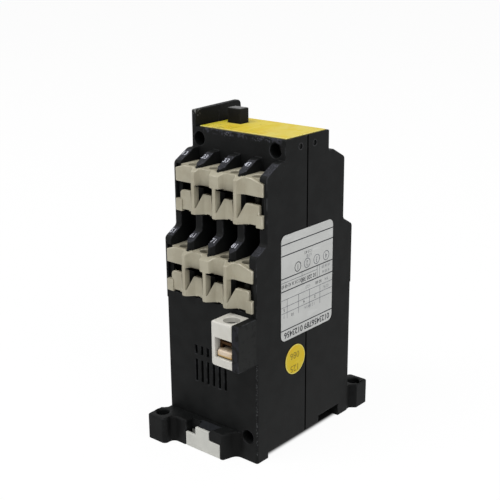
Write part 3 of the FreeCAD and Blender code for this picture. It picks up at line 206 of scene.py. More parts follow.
class Graph(Tree):
    """The node tree of one finish, with short calls for what the finishes use."""

    spot_core = 0.4
    wave_scale = 10.0

    def __init__(self, name: str) -> None:
        """Starts a material with a shader and Object coordinates.

        Args:
            name: The material's name.
        """
        self.material = bpy.data.materials.new(name)
        self.material.use_nodes = True
        super().__init__(self.material.node_tree)
        self.shader = self.node("BsdfPrincipled")
        self.output = self.node("OutputMaterial", Surface=self.shader.outputs["BSDF"])
        self.place = self.node("TexCoord").outputs["Object"]

    def set(self, **values: Value) -> None:
        """Fills the shader's own inputs."""
        self.feed(self.shader, **values)

    def noise(self, size: float, detail: float = PLAIN_DETAIL, stretch: Place = EVEN) -> Socket:
        """A noise pattern.

        Args:
            size: The size of its blotches in metres.
            detail: How many finer layers it has.
            stretch: How much longer the blotches are along each axis.

        Returns:
            A value from 0 to 1.
        """
        scale = [1.0 / (size * along) for along in stretch]
        mapping = self.node("Mapping", Vector=self.place, Scale=scale)
        noise = self.node("TexNoise", Vector=mapping.outputs["Vector"], Scale=1.0, Detail=detail)
        return noise.outputs["Fac"]

    def spots(self, spacing: float, radius: float) -> Socket:
        """A mask of small round spots, whose radius is a share of their spacing in metres."""
        cells = self.node("TexVoronoi", Vector=self.place, Scale=1.0 / spacing)
        return self.band(cells.outputs["Distance"], (radius, radius * self.spot_core))

    def stripes(self, axis: str, pitch: float) -> Socket:
        """Stripes that swing from 0 to 1 along an axis, with a pitch in metres."""
        scale = math.pi / (self.wave_scale * pitch)
        return self.node("TexWave", Vector=self.place, Scale=scale, bands_direction=axis).outputs["Fac"]

    def band(self, source: Socket, ends: Span) -> Socket:
        """A smooth step from 0 at the first end to 1 at the second."""
        step = self.node("MapRange", Value=source, From_Min=ends[0], From_Max=ends[1],
                         interpolation_type="SMOOTHSTEP")
        return step.outputs["Result"]

    def span(self, source: Socket, low: float, high: float) -> Socket:
        """A 0 to 1 value spread over another range."""
        return self.node("MapRange", Value=source, To_Min=low, To_Max=high).outputs["Result"]

    def times(self, first: Socket, second: Socket | float) -> Socket:
        """The product of two values."""
        return self.reckon("MULTIPLY", first, second)

    def mix(self, share: Socket, first: Socket | Colour, second: Socket | Colour) -> Socket:
        """A colour between two.

        Args:
            share: How much of the second colour shows.
            first: The colour at 0.
            second: The colour at 1.

        Returns:
            The mixed colour.
        """
        node = self.node("Mix", share, data_type="RGBA")
        targets = [socket for socket in node.inputs if socket.type == "RGBA"]
        for target, colour in zip(targets, (first, second)):
            self.put(target, (*colour, 1.0) if isinstance(colour, tuple) else colour)
        return next(socket for socket in node.outputs if socket.type == "RGBA")

    def inside(self, low: Place, high: Place, soft: float) -> Socket:
        """A soft-edged box in Object coordinates.

        Args:
            low: The box's lowest corner.
            high: Its highest corner.
            soft: How far its edge fades, in metres.

        Returns:
            A mask that is 1 in the box.
        """
        parts = self.node("SeparateXYZ", Vector=self.place)
        mask: Socket | None = None
        for name, start, end in zip("XYZ", low, high):
            rise = self.band(parts.outputs[name], (start - soft, start + soft))
            fall = self.band(parts.outputs[name], (end + soft, end - soft))
            side = self.times(rise, fall)
            mask = side if mask is None else self.times(mask, side)
        return mask

    def edges(self) -> Socket:
        """The mark that rounded edges carry."""
        return self.node("Attribute", attribute_name=EDGE_ATTRIBUTE).outputs["Fac"]

    def bump(self, height: Socket, depth: float) -> None:
        """Presses a pattern from 0 to 1 into the surface, with a depth in metres."""
        self.set(Normal=self.node("Bump", Height=height, Distance=depth).outputs["Normal"])

    def paint(self, colour: Socket) -> None:
        """Gives the shader its colour."""
        self.set(Base_Color=colour)

    def polish(self, pattern: Socket, middle: float, swing: Span) -> None:
        """Gives the shader a roughness that swings about a middle with a pattern."""
        self.set(Roughness=self.span(pattern, middle + swing[0], middle + swing[1]))


@dataclass(frozen=True)
class Scuff:
    """A patch of abraded specks, grime or stains, or of painted light or shade."""

    low: Place
    high: Place
    colour: Colour
    speck: float = 0.5 * MM
    amount: float = 1.0
    soft: float = 0.5 * MM
    threshold: float = 0.56
    fade: float = 0.1
    dotted: bool = False

    def lay(self, g: Graph, tone: Socket) -> Socket:
        """Lays the patch over a colour.

        Args:
            g: The finish's node tree.
            tone: The colour under the patch.

        Returns:
            The colour with the patch on it.
        """
        patch = g.inside(self.low, self.high, self.soft)
        if self.dotted:
            specks = g.spots(self.speck, self.threshold)
        else:
            specks = g.band(g.noise(self.speck), (self.threshold, self.threshold + self.fade))
        return g.mix(g.times(g.times(patch, specks), self.amount), tone, self.colour)


@dataclass(frozen=True)
class MouldedPlastic:
    """Moulded plastic with mottle, fine grain and lighter rounded edges, partly abraded and partly painted
    highlight.
    """

    name: str
    colour: Colour
    mottle: Colour
    fleck: Colour
    worn: Colour
    roughness: float = 0.5
    gloss: float = 0.3
    blotch: float = 5.0 * MM
    grain: float = 0.35 * MM
    grain_depth: float = 0.02 * MM
    flecks: float = 0.5
    wear: float = 0.6
    mottle_band: Span = (0.35, 0.65)
    fleck_band: Span = (0.5, 0.75)
    wear_band: Span = (0.4, 0.7)
    wear_size: float = 0.5
    swing: Span = (-0.08, 0.08)
    scuffs: tuple[Scuff, ...] = ()

    def material(self) -> Material:
        """Builds the material.

        Returns:
            The finished material.
        """
        g = Graph(self.name)
        fine = g.noise(self.grain, FINE_DETAIL)
        tone = g.mix(g.band(g.noise(self.blotch, RICH_DETAIL), self.mottle_band), self.colour, self.mottle)
        tone = g.mix(g.times(g.band(fine, self.fleck_band), self.flecks), tone, self.fleck)
        # Lighter patches on rounded edges: partly abrasion, partly painted highlight.
        patches = g.band(g.noise(self.blotch * self.wear_size, RICH_DETAIL), self.wear_band)
        rubbed_and_lit = g.times(g.edges(), patches)
        tone = g.mix(g.times(rubbed_and_lit, self.wear), tone, self.worn)
        for marking in self.scuffs:
            tone = marking.lay(g, tone)
        g.paint(tone)
        g.polish(fine, self.roughness, self.swing)
        g.bump(fine, self.grain_depth)
        g.set(Specular_IOR_Level=self.gloss)
        return g.material


@dataclass(frozen=True)
class LabelStock:
    """Printed sheet with faded patches, small dirty spots, grime and faint scratches."""

    name: str
    colour: Colour
    faded: Colour
    tint: Colour
    dirt: Colour
    scratch: Colour
    roughness: float = 0.4
    gloss: float = 0.3
    spot_spacing: float = 4.0 * MM
    spot_radius: float = 0.1
    scratches: float = 0.4
    scratch_size: float = 0.35 * MM
    rim: Colour = (1.0, 1.0, 1.0)
    rim_share: float = 0.0
    fade_size: float = 9.0 * MM
    fade_band: Span = (0.35, 0.65)
    tint_size: float = 3.0 * MM
    tint_stretch: Place = (1.0, 2.5, 1.0)
    tint_band: Span = (0.48, 0.7)
    scratch_stretch: Place = (1.5, 40.0, 8.0)
    scratch_band: Span = (0.62, 0.7)
    spot_band: Span = (0.4, 0.55)
    spot_share: float = 0.7
    swing: Span = (-0.1, 0.1)
    swing_size: float = 1.5 * MM
    grain: float = 0.8 * MM
    grain_depth: float = 0.01 * MM
    scuffs: tuple[Scuff, ...] = ()

    def material(self) -> Material:
        """Builds the material.

        Returns:
            The finished material.
        """
        g = Graph(self.name)
        fade = g.noise(self.fade_size, RICH_DETAIL)
        tone = g.mix(g.band(fade, self.fade_band), self.colour, self.faded)
        stain = g.noise(self.tint_size, RICH_DETAIL, self.tint_stretch)
        tone = g.mix(g.band(stain, self.tint_band), tone, self.tint)
        lines = g.band(g.noise(self.scratch_size, PLAIN_DETAIL, self.scratch_stretch), self.scratch_band)
        tone = g.mix(g.times(lines, self.scratches), tone, self.scratch)
        specks = g.times(g.spots(self.spot_spacing, self.spot_radius), g.band(fade, self.spot_band))
        tone = g.mix(g.times(specks, self.spot_share), tone, self.dirt)
        for marking in self.scuffs:
            tone = marking.lay(g, tone)
        tone = g.mix(g.times(g.edges(), self.rim_share), tone, self.rim)
        g.paint(tone)
        g.polish(g.noise(self.swing_size, FINE_DETAIL), self.roughness, self.swing)
        g.bump(g.noise(self.grain), self.grain_depth)
        g.set(Specular_IOR_Level=self.gloss)
        return g.material


@dataclass(frozen=True)
class Ink:
    """Printing ink, thinner in places where it has come off."""

    name: str
    colour: Colour
    thin: Colour
    rub_band: Span = (0.5, 0.7)
    rub_size: float = 0.45 * MM
    roughness: Span = (0.45, 0.65)
    gloss: float = 0.2

    def material(self) -> Material:
        """Builds the material.

        Returns:
            The finished material.
        """
        g = Graph(self.name)
        rub = g.noise(self.rub_size)
        g.paint(g.mix(g.band(rub, self.rub_band), self.colour, self.thin))
        g.set(Roughness=g.span(rub, *self.roughness))
        g.set(Specular_IOR_Level=self.gloss)
        return g.material


@dataclass(frozen=True)
class Metal:
    """Bare metal with fine drawn lines and dull patches."""

    name: str
    colour: Colour
    dull: Colour
    roughness: float = 0.35
    drawn: Place = ALONG_Z
    metallic: float = 1.0
    line_size: float = 0.12 * MM
    line_depth: float = 0.008 * MM
    patch_size: float = 2.0 * MM
    patch_band: Span = (0.4, 0.7)
    swing: Span = (-0.08, 0.15)
    scuffs: tuple[Scuff, ...] = ()

    def material(self) -> Material:
        """Builds the material.

        Returns:
            The finished material.
        """
        g = Graph(self.name)
        lines = g.noise(self.line_size, PLAIN_DETAIL, self.drawn)
        patches = g.noise(self.patch_size, RICH_DETAIL)
        tone = g.mix(g.band(patches, self.patch_band), self.colour, self.dull)
        for marking in self.scuffs:
            tone = marking.lay(g, tone)
        g.paint(tone)
        g.polish(patches, self.roughness, self.swing)
        g.bump(lines, self.line_depth)
        g.set(Metallic=self.metallic)
        return g.material


@dataclass(frozen=True)
class Layered:
    """A pack of equal layers: core sheets or turns of wire."""

    name: str
    colour: Colour
    gap: Colour
    axis: str
    pitch: float
    metallic: float
    roughness: float = 0.4
    gap_band: Span = (0.05, 0.35)
    stain_size: float = 3.0 * MM
    stain_band: Span = (0.45, 0.75)
    stain_share: float = 0.6
    swing: Span = (-0.1, 0.15)
    depth_share: float = 0.15

    def material(self) -> Material:
        """Builds the material.

        Returns:
            The finished material.
        """
        g = Graph(self.name)
        layers = g.stripes(self.axis, self.pitch)
        tone = g.mix(g.band(layers, self.gap_band), self.gap, self.colour)
        stain = g.noise(self.stain_size, RICH_DETAIL)
        g.paint(g.mix(g.times(g.band(stain, self.stain_band), self.stain_share), tone, self.gap))
        g.polish(stain, self.roughness, self.swing)
        g.bump(layers, self.pitch * self.depth_share)
        g.set(Metallic=self.metallic)
        return g.material


# Painted shade: boxes over the deep terminal bays, where shade falls.
BAY_SHADE_BOXES = (
    (mm(-17.0, -18.75, 77.5), mm(16.5, -11.0, 90.2)),
    (mm(-17.0, -23.8, 51.0), mm(16.5, -11.0, 64.6)),
)
# Painted shade: boxes over the coves between the feet and the shelf.
COVE_SHADE_BOXES = (
    (mm(-13.6, -32.4, -1.0), mm(-9.2, -29.4, 9.6)),
    (mm(9.4, -29.4, -1.0), mm(13.4, -24.0, 9.6)),
)
BLACK = MouldedPlastic(
    "case_plastic", srgb(11, 12, 12), srgb(17, 18, 18), srgb(31, 32, 33), srgb(70, 71, 74),
    roughness=0.55, gloss=0.1, flecks=0.3, wear=0.4,
    scuffs=(
        Scuff(mm(7.0, -11.4, 100.35), mm(13.2, -10.7, 101.7), srgb(150, 150, 158),
              speck=0.45 * MM, amount=0.9, soft=0.2 * MM, threshold=0.27, dotted=True),
        Scuff(mm(-5.0, -11.4, 99.9), mm(-2.6, -10.7, 101.7), srgb(140, 140, 146),
              speck=0.7 * MM, amount=0.6, soft=0.25 * MM, threshold=0.36, dotted=True),
        Scuff(mm(-14.0, -11.4, 100.6), mm(17.5, -10.4, 102.0), srgb(66, 66, 74),
              speck=1.4 * MM, amount=0.55, threshold=0.5),
        Scuff(mm(-19.2, -11.3, 105.4), mm(-17.0, -8.8, 107.4), srgb(120, 120, 118),
              speck=0.7 * MM, amount=0.8, threshold=0.5),
        # Painted highlight: a bluish sheen on the front face of the ear.
        Scuff(mm(16.0, -33.6, 34.0), mm(19.2, -33.1, 50.0), srgb(40, 40, 48),
              speck=1.6 * MM, amount=0.6, threshold=0.4),
        # Painted light: the lower part of the right side is lighter, as light thrown up from the floor.
        Scuff(mm(18.5, -30.0, -5.0), mm(19.2, 30.0, 24.0), srgb(25, 25, 25),
              speck=9.0 * MM, amount=0.8, soft=16.0 * MM, threshold=0.25),
        # Painted highlight: lighter specks along the front right corner edge of the case.
        Scuff(mm(18.5, -24.85, 3.0), mm(19.1, -24.3, 34.0), srgb(72, 73, 75),
              speck=0.5 * MM, amount=0.6, soft=0.15 * MM, threshold=0.5),
        Scuff(mm(18.8, -33.2, 34.8), mm(19.2, -25.0, 49.0), srgb(35, 36, 35),
              speck=1.5 * MM, amount=0.75, soft=0.6 * MM, threshold=0.36),
        # Painted shade: near black laid over the deep terminal bays.
        *(Scuff(low, high, srgb(1, 1, 1), speck=9.0 * MM, amount=0.9, soft=0.3 * MM, threshold=0.15)
          for low, high in BAY_SHADE_BOXES),
        # Painted shade: near black laid into the coves at the foot.
        *(Scuff(low, high, srgb(3, 3, 3), speck=9.0 * MM, amount=0.8, soft=1.0 * MM, threshold=0.2)
          for low, high in COVE_SHADE_BOXES),
    ),
)
# Lighter grey on the flat slopes of the fins and walls: partly a grainier finish, partly painted light on
# faces that face up and forward.
SLOPE = MouldedPlastic(
    "slope_plastic", srgb(32, 33, 36), srgb(42, 43, 47), srgb(90, 90, 98), srgb(72, 72, 79),
    roughness=0.65, gloss=0.1, blotch=1.6 * MM, flecks=0.7, wear=0.4,
)
# Painted shade with a bluish cast: the driver ramp behind the latch tongue is kept dark.
RAMP = MouldedPlastic(
    "ramp_plastic", srgb(13, 15, 19), srgb(19, 21, 25), srgb(30, 32, 37), srgb(48, 49, 54),
    roughness=0.6, gloss=0.1, blotch=1.6 * MM, flecks=0.4, wear=0.3,
)
SEAM = MouldedPlastic(
    "seam_shadow", srgb(3, 3, 3), srgb(4, 4, 4), srgb(6, 6, 6), srgb(6, 6, 6),
    roughness=0.8, gloss=0.0, wear=0.0,
)
CARRIER = MouldedPlastic(
    "carrier_plastic", srgb(15, 15, 14), srgb(21, 21, 20), srgb(30, 30, 30), srgb(58, 58, 56),
    roughness=0.55, gloss=0.1, flecks=0.3, wear=0.4,
)
INDICATOR = replace(
    CARRIER, name="indicator_top", roughness=0.36, gloss=0.45, wear=0.2, grain_depth=0.005 * MM,
)
BEIGE = MouldedPlastic(
    "guard_plastic", srgb(159, 154, 136), srgb(151, 145, 127), srgb(169, 164, 148), srgb(198, 193, 177),
    roughness=0.5, gloss=0.25, flecks=0.25, wear=0.85, grain_depth=0.01 * MM,
)
IVORY = MouldedPlastic(
    "terminal_plastic", srgb(192, 190, 183), srgb(186, 184, 176), srgb(198, 196, 190), srgb(212, 210, 204),
    roughness=0.45, gloss=0.3, flecks=0.2, wear=0.5, grain_depth=0.008 * MM,
)
GREY = MouldedPlastic(
    "latch_plastic", srgb(189, 189, 183), srgb(182, 182, 176), srgb(196, 196, 190), srgb(206, 206, 201),
    roughness=0.48, gloss=0.28, flecks=0.25, wear=0.4, grain_depth=0.01 * MM,
)
BOBBIN = MouldedPlastic(
    "bobbin_plastic", srgb(150, 40, 34), srgb(138, 34, 30), srgb(166, 60, 52), srgb(176, 80, 70),
)
RUBBER = MouldedPlastic(
    "pad_rubber", srgb(28, 28, 28), srgb(36, 36, 36), srgb(48, 48, 48), srgb(60, 60, 60),
    roughness=0.75, gloss=0.15,
)
YELLOW = LabelStock(
    "plate_yellow", srgb(196, 175, 40), srgb(201, 183, 72), srgb(198, 168, 44), srgb(104, 84, 26),
    srgb(214, 200, 120),
    roughness=0.6, gloss=0.12, scratches=0.35, rim=srgb(232, 226, 160), rim_share=0.8,
    scuffs=(
        # Painted shade: an olive band along the left wall, as its contact shadow on the plate.
        Scuff(mm(-17.0, -10.5, 101.0), mm(-14.6, 10.0, 103.0), srgb(176, 172, 20),
              speck=2.5 * MM, amount=0.75, soft=0.8 * MM, threshold=0.42),
        Scuff(mm(-15.4, -10.2, 101.0), mm(-5.0, -4.0, 103.0), srgb(84, 70, 22),
              speck=0.9 * MM, amount=0.85, soft=1.2 * MM, threshold=0.54),
        Scuff(mm(1.0, -10.0, 101.0), mm(14.0, -3.0, 103.0), srgb(150, 128, 44),
              speck=1.2 * MM, amount=0.4, soft=1.5 * MM, threshold=0.54),
        Scuff(mm(6.0, -10.5, 101.0), mm(19.0, 10.0, 103.0), srgb(204, 192, 110),
              speck=6.0 * MM, amount=0.7, soft=3.0 * MM, threshold=0.35),
    ),
)
STICKER = LabelStock(
    "sticker_yellow", srgb(195, 168, 31), srgb(191, 170, 52), srgb(202, 162, 27), srgb(140, 118, 40),
    srgb(214, 196, 84),
    roughness=0.55, gloss=0.15, spot_radius=0.06, scratches=0.2,
)
SILVER = LabelStock(
    "label_silver", srgb(180, 181, 179), srgb(174, 175, 173), srgb(177, 178, 176), srgb(124, 124, 122),
    srgb(196, 197, 196),
    roughness=0.42, gloss=0.3, spot_radius=0.05, scratches=0.3,
)
DARK_INK = Ink("label_ink", srgb(22, 25, 31), srgb(46, 49, 56))
FAINT_INK = Ink("label_faint_ink", srgb(90, 92, 97), srgb(126, 128, 131), rub_band=(0.4, 0.65))
STAMP_INK = Ink("stamp_ink", srgb(112, 98, 26), srgb(146, 128, 36), rub_band=(0.45, 0.7))
MARK_INK = Ink("moulding_mark_rim", srgb(44, 45, 47), srgb(20, 21, 21), rub_band=(0.4, 0.6))
RIM_INK = Ink("sticker_rim", srgb(205, 195, 104), srgb(198, 184, 80))
WHITE_INK = Ink("number_ink", srgb(196, 198, 208), srgb(118, 119, 127), rub_band=(0.42, 0.68))
# Painted shade: the contact brass is kept near black brown, as it lies deep in the shaded bays.
BRASS = Metal("contact_brass", srgb(46, 37, 25), srgb(32, 26, 18), roughness=0.6, drawn=ALONG_X)
# Painted highlight: the jaw's brass is a pale pinkish lit tone.
LIT_CLAMP_BRASS = Metal(
    "clamp_brass", srgb(198, 182, 163), srgb(190, 167, 135),
    roughness=0.45, drawn=ALONG_X, metallic=0.3,
    scuffs=(
        # Painted shade: a darker golden band along the jaw's lower lip.
        Scuff(mm(-20.0, -40.0, 37.0), mm(20.0, 40.0, 38.5), srgb(168, 134, 66),
              speck=9.0 * MM, amount=0.9, soft=0.25 * MM, threshold=0.2),
    ),
)
# Painted shade: the cage and strip inside the coil terminal's cave are dark brown brass.
CAGE_SHADE_BRASS = Metal("tarnished_brass", srgb(78, 56, 36), srgb(48, 34, 22), roughness=0.6, drawn=ALONG_X)
STEEL = Metal("plated_steel", srgb(92, 91, 88), srgb(64, 62, 58), roughness=0.48)
# Painted shade: terminal screws and clamp plates are near black steel, as they lie deep in the shaded
# bays.
SHADED_TERMINAL_STEEL = Metal("terminal_steel", srgb(34, 33, 30), srgb(24, 23, 21), roughness=0.6)
SPRING = Metal("spring_wire", srgb(160, 160, 162), srgb(122, 122, 124), roughness=0.3, drawn=EVEN)
SHEETS = Layered(
    "core_sheets", srgb(120, 122, 126), srgb(48, 46, 44), axis="X", pitch=0.5 * MM, metallic=0.8,
)
WIRE = Layered(
    "coil_wire", srgb(168, 92, 48), srgb(70, 34, 20), axis="Z", pitch=0.28 * MM, metallic=0.7,
    roughness=0.35,
)
RING = Metal("ring_copper", srgb(196, 120, 84), srgb(150, 86, 60), roughness=0.4)

FinishKind = MouldedPlastic | LabelStock | Ink | Metal | Layered


@cache
def material_of(finish: FinishKind) -> Material:
    """The material of a finish, built once and shared by the pieces that use it."""
    return finish.material()


@dataclass(frozen=True)
class Rounding:
    """How a merged copy of a solid gets its rounded edges."""

    width: float
    segments: int = 2
    sharp: float = math.radians(38)
    room: float = 2.05
    where: Callable[[Edge], bool] | None = None
    mark: float = 1.0
    straight: float = -0.75

    def edges(self, bm: Mesh) -> list[Edge]:
        """The outward edges with room for the rounding on both sides.

        Args:
            bm: A merged mesh.

        Returns:
            The edges to round.
        """
        sharp = {
            edge for edge in bm.edges
            if edge.is_manifold and edge.is_convex and edge.calc_face_angle() > self.sharp
        }
        chosen = [edge for edge in bm.edges if edge in sharp and self.has_room(edge, sharp)]
        return chosen if self.where is None else [edge for edge in chosen if self.where(edge)]

    def has_room(self, edge: Edge, sharp: set[Edge]) -> bool:
        """Whether no short edge stands in the way of the rounding.

        Args:
            edge: The edge to test.
            sharp: All edges that may be rounded.

        Returns:
            True if the edge can be rounded.
        """
        for vert in edge.verts:
            along = (edge.other_vert(vert).co - vert.co).normalized()
            for other in vert.link_edges:
                if other is edge:
                    continue
                ahead = (other.other_vert(vert).co - vert.co).normalized()
                runs_on = other in sharp and along.dot(ahead) < self.straight
                if not runs_on and other.calc_length() < self.room * self.width:
                    return False
        return True


@dataclass(frozen=True)
class Push:
    """A joint's push on a spring: its axis, its travel and the end that stays; kept as data, as nothing
    here shortens the spring.
    """

    joint: str
    axis: Place
    travel: float
    top_stays: bool = False

    def squeeze(self, piece: Piece, low: Vector, high: Vector) -> None:
        """Gives the spring a mesh of its own; nothing shortens it.

        Args:
            piece: The finished spring.
            low: The lowest corner of its box at rest.
            high: The highest corner of its box at rest.
        """
        length = (high - low).dot(Vector(self.axis))
        anchor = high if self.top_stays else low
        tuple(self.axis)
        tuple(anchor)
        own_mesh(piece)


class Workshop:
    """Makes pieces: merged and rounded copies of solids, prints, springs and dressed solids."""

    merge = 0.002 * MM
    flat = math.radians(0.4)
    crease = math.radians(26)
    facet = math.radians(1.0)
    contrast = 6.0

    def copy(self, node: str) -> Mesh:
        """A merged copy of a solid with its flat faces whole.

        Args:
            node: The solid's name.

        Returns:
            The merged mesh.
        """
        bm = bmesh.new()
        bm.from_mesh(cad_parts[node].data)
        bmesh.ops.remove_doubles(bm, verts=bm.verts, dist=self.merge)
        bmesh.ops.dissolve_limit(
            bm, angle_limit=self.flat, use_dissolve_boundaries=False, verts=bm.verts, edges=bm.edges,
            delimit={"NORMAL"},
        )
        return bm

    def round_edges(self, bm: Mesh, rounding: Rounding) -> None:
        """Rounds the outward edges and marks the new faces.

        Args:
            bm: A merged mesh.
            rounding: How wide and how fine.
        """
        layers = bm.faces.layers.float
        mark = layers.get(EDGE_ATTRIBUTE) or layers.new(EDGE_ATTRIBUTE)
        made = bmesh.ops.bevel(
            bm, geom=rounding.edges(bm), offset=rounding.width, offset_type="OFFSET",
            segments=rounding.segments, profile=0.5, affect="EDGES", material=-1,
            clamp_overlap=False, loop_slide=True,
        )
        for face in made["faces"]:
            face[mark] = rounding.mark

    def shade(self, bm: Mesh) -> None:
        """Smooths curved faces and keeps creases and flat faces crisp.

        Args:
            bm: The finished mesh.
        """
        for face in bm.faces:
            face.smooth = True
        for edge in bm.edges:
            if not edge.is_manifold:
                continue
            angle = edge.calc_face_angle()
            areas = sorted(face.calc_area() for face in edge.link_faces)
            unlike = angle > self.facet and areas[1] > self.contrast * areas[0]
            edge.smooth = not (angle > self.crease or unlike)

    def piece(self, bm: Mesh, name: str, finishes: Iterable[FinishKind], body: str,
              slot: Slot) -> Piece:
        """Turns a mesh into a piece that rides on a body.

        Args:
            bm: The finished mesh, in place.
            name: The piece's name.
            finishes: Its finishes, in the order of its material indices.
            body: The body that carries it.
            slot: The record's slot; not used.

        Returns:
            The piece.
        """
        mesh = bpy.data.meshes.new(name)
        bm.to_mesh(mesh)
        bm.free()
        piece = bpy.data.objects.new(name, mesh)
        bpy.context.scene.collection.objects.link(piece)
        for finish in finishes:
            mesh.materials.append(material_of(finish))
        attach(piece, body)
        LOG.info("piece %s: %d faces on %s", name, len(mesh.polygons), body)
        return piece

    def skin(self, node: str, finishes: Iterable[FinishKind], slot: Slot, *roundings: Rounding,
             body: str = "case", paint: Callable[[Face], int] | None = None,
             touch_up: Callable[[Face], int] | None = None,
             suffix: str = "_moulding") -> Piece:
        """A rounded copy that stands for a solid.

        Args:
            node: The solid's name.
            finishes: The finishes, in the order of the material indices.
            slot: The record's slot.
            roundings: How its edges are rounded, one after the other.
            body: The body that carries it.
            paint: Gives each face its material index before the rounding, if not all are the first.
            touch_up: Gives faces another material index after the rounding, where it isn't 0.
            suffix: What the piece's name adds to the solid's.

        Returns:
            The piece.
        """
        bm = self.copy(node)
        if paint is not None:
            for face in bm.faces:
                face.material_index = paint(face)
        for rounding in roundings:
            self.round_edges(bm, rounding)
        if touch_up is not None:
            for face in bm.faces:
                face.material_index = touch_up(face) or face.material_index
        self.shade(bm)
        piece = self.piece(bm, node + suffix, finishes, body, slot)
        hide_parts(node)
        return piece

    def spring(self, node: str, push: Push, body: str = "case") -> None:
        """A rounded copy of a spring, with a mesh of its own.

        Args:
            node: The spring's name.
            push: The joint's push, which is kept as data and shortens nothing.
            body: The body that carries it.
        """
        low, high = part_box(node)
        piece = self.skin(node, [SPRING], Slot.STEEL, body=body, suffix="_wire")
        push.squeeze(piece, low, high)

    def dress(self, node: str, finish: FinishKind) -> None:
        """Gives a solid that stays its finish.

        Args:
            node: The solid's name.
            finish: Its finish.
        """
        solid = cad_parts[node]
        solid.data.materials.clear()
        solid.data.materials.append(material_of(finish))
        LOG.info("solid %s: %s", node, finish.name)


SHOP = Workshop()


class Press:
    """Printed marks: digits, rules and rings, laid as thin films on a surface."""

    film = 0.02 * MM
    cap_share = 0.72
    outline_steps = 3
    ring_steps = 32
    weld = 0.0005 * MM

    def __init__(self, origin: Place, right: Place, up: Place) -> None:
        """Sets the surface that is printed on.

        Args:
            origin: The point that print places are measured from.
            right: The reading direction.
            up: The direction of the digits' tops.
        """
        x = Vector(right).normalized()
        y = Vector(up).normalized()
        z = x.cross(y)
        self.frame = Matrix.Translation(origin) @ Matrix((x, y, z)).transposed().to_4x4()
        self.bm = bmesh.new()

    def digits(self, text: str, centre: Place, height: float, squeeze: float = 1.0,
               turn: Matrix | None = None, bold: float = 0.0) -> None:
        """Prints plain digits.

        Args:
            text: The digits.
            centre: Their middle on the surface.
            height: Their height in metres.
            squeeze: Their width as a share of the usual one.
            turn: A last turn of the place, for the other end of the case.
            bold: How far the outlines are pushed outward, in metres.
        """
        curve = bpy.data.curves.new("digits", "FONT")
        curve.body = text
        curve.align_x = "CENTER"
        curve.align_y = "CENTER"
        curve.size = height / self.cap_share
        curve.extrude = self.film / 2
        curve.offset = bold
        curve.resolution_u = self.outline_steps
        holder = bpy.data.objects.new("digits", curve)
        bpy.context.scene.collection.objects.link(holder)
        mesh = bpy.data.meshes.new_from_object(holder.evaluated_get(bpy.context.evaluated_depsgraph_get()))
        middle = Matrix.Translation((*centre, self.film / 2))
        place = self.frame @ middle @ Matrix.Diagonal((squeeze, 1, 1, 1))
        mesh.transform(turn @ place if turn is not None else place)
        self.bm.from_mesh(mesh)
        bpy.data.objects.remove(holder)
        bpy.data.curves.remove(curve)
        bpy.data.meshes.remove(mesh)

    def rule(self, start: Place, end: Place, width: float) -> None:
        """Prints a straight rule.

        Args:
            start: One end of its middle line.
            end: The other end.
            width: Its width in metres.
        """
        run = Vector(end) - Vector(start)
        middle = (Vector(end) + Vector(start)) / 2
        turn = Matrix.Rotation(math.atan2(run.y, run.x), 4, "Z")
        size = Matrix.Diagonal((run.length, width, self.film, 1))
        place = Matrix.Translation((*middle, self.film / 2))
        bmesh.ops.create_cube(self.bm, size=1.0, matrix=self.frame @ place @ turn @ size)

    def ring(self, centre: Place, radius: float, width: float) -> None:
        """Prints a plain ring.

        Args:
            centre: Its middle on the surface.
            radius: Its outer radius.
            width: Its line width.
        """
        section = [(radius - width, 0.0), (radius, 0.0), (radius, self.film), (radius - width, self.film)]
        place = self.frame @ Matrix.Translation((*centre, 0.0))
        verts = [self.bm.verts.new(place @ Vector((r, 0.0, z))) for r, z in section]
        edges = [self.bm.edges.new((verts[i], verts[i - 1])) for i in range(len(verts))]
        axis = self.frame.to_3x3() @ Vector((0, 0, 1))
        bmesh.ops.spin(
            self.bm, geom=verts + edges, cent=place.translation, axis=axis, angle=math.tau,
            steps=self.ring_steps, use_merge=True,
        )
        bmesh.ops.recalc_face_normals(self.bm, faces=[f for f in self.bm.faces if f.is_valid])

    def done(self, name: str, finish: Ink, slot: Slot) -> None:
        """Ends the print as one piece on the case.

        Args:
            name: The piece's name.
            finish: Its ink.
            slot: The record's slot.
        """
        bmesh.ops.remove_doubles(self.bm, verts=self.bm.verts, dist=self.weld)
        SHOP.piece(self.bm, name, [finish], "case", slot)


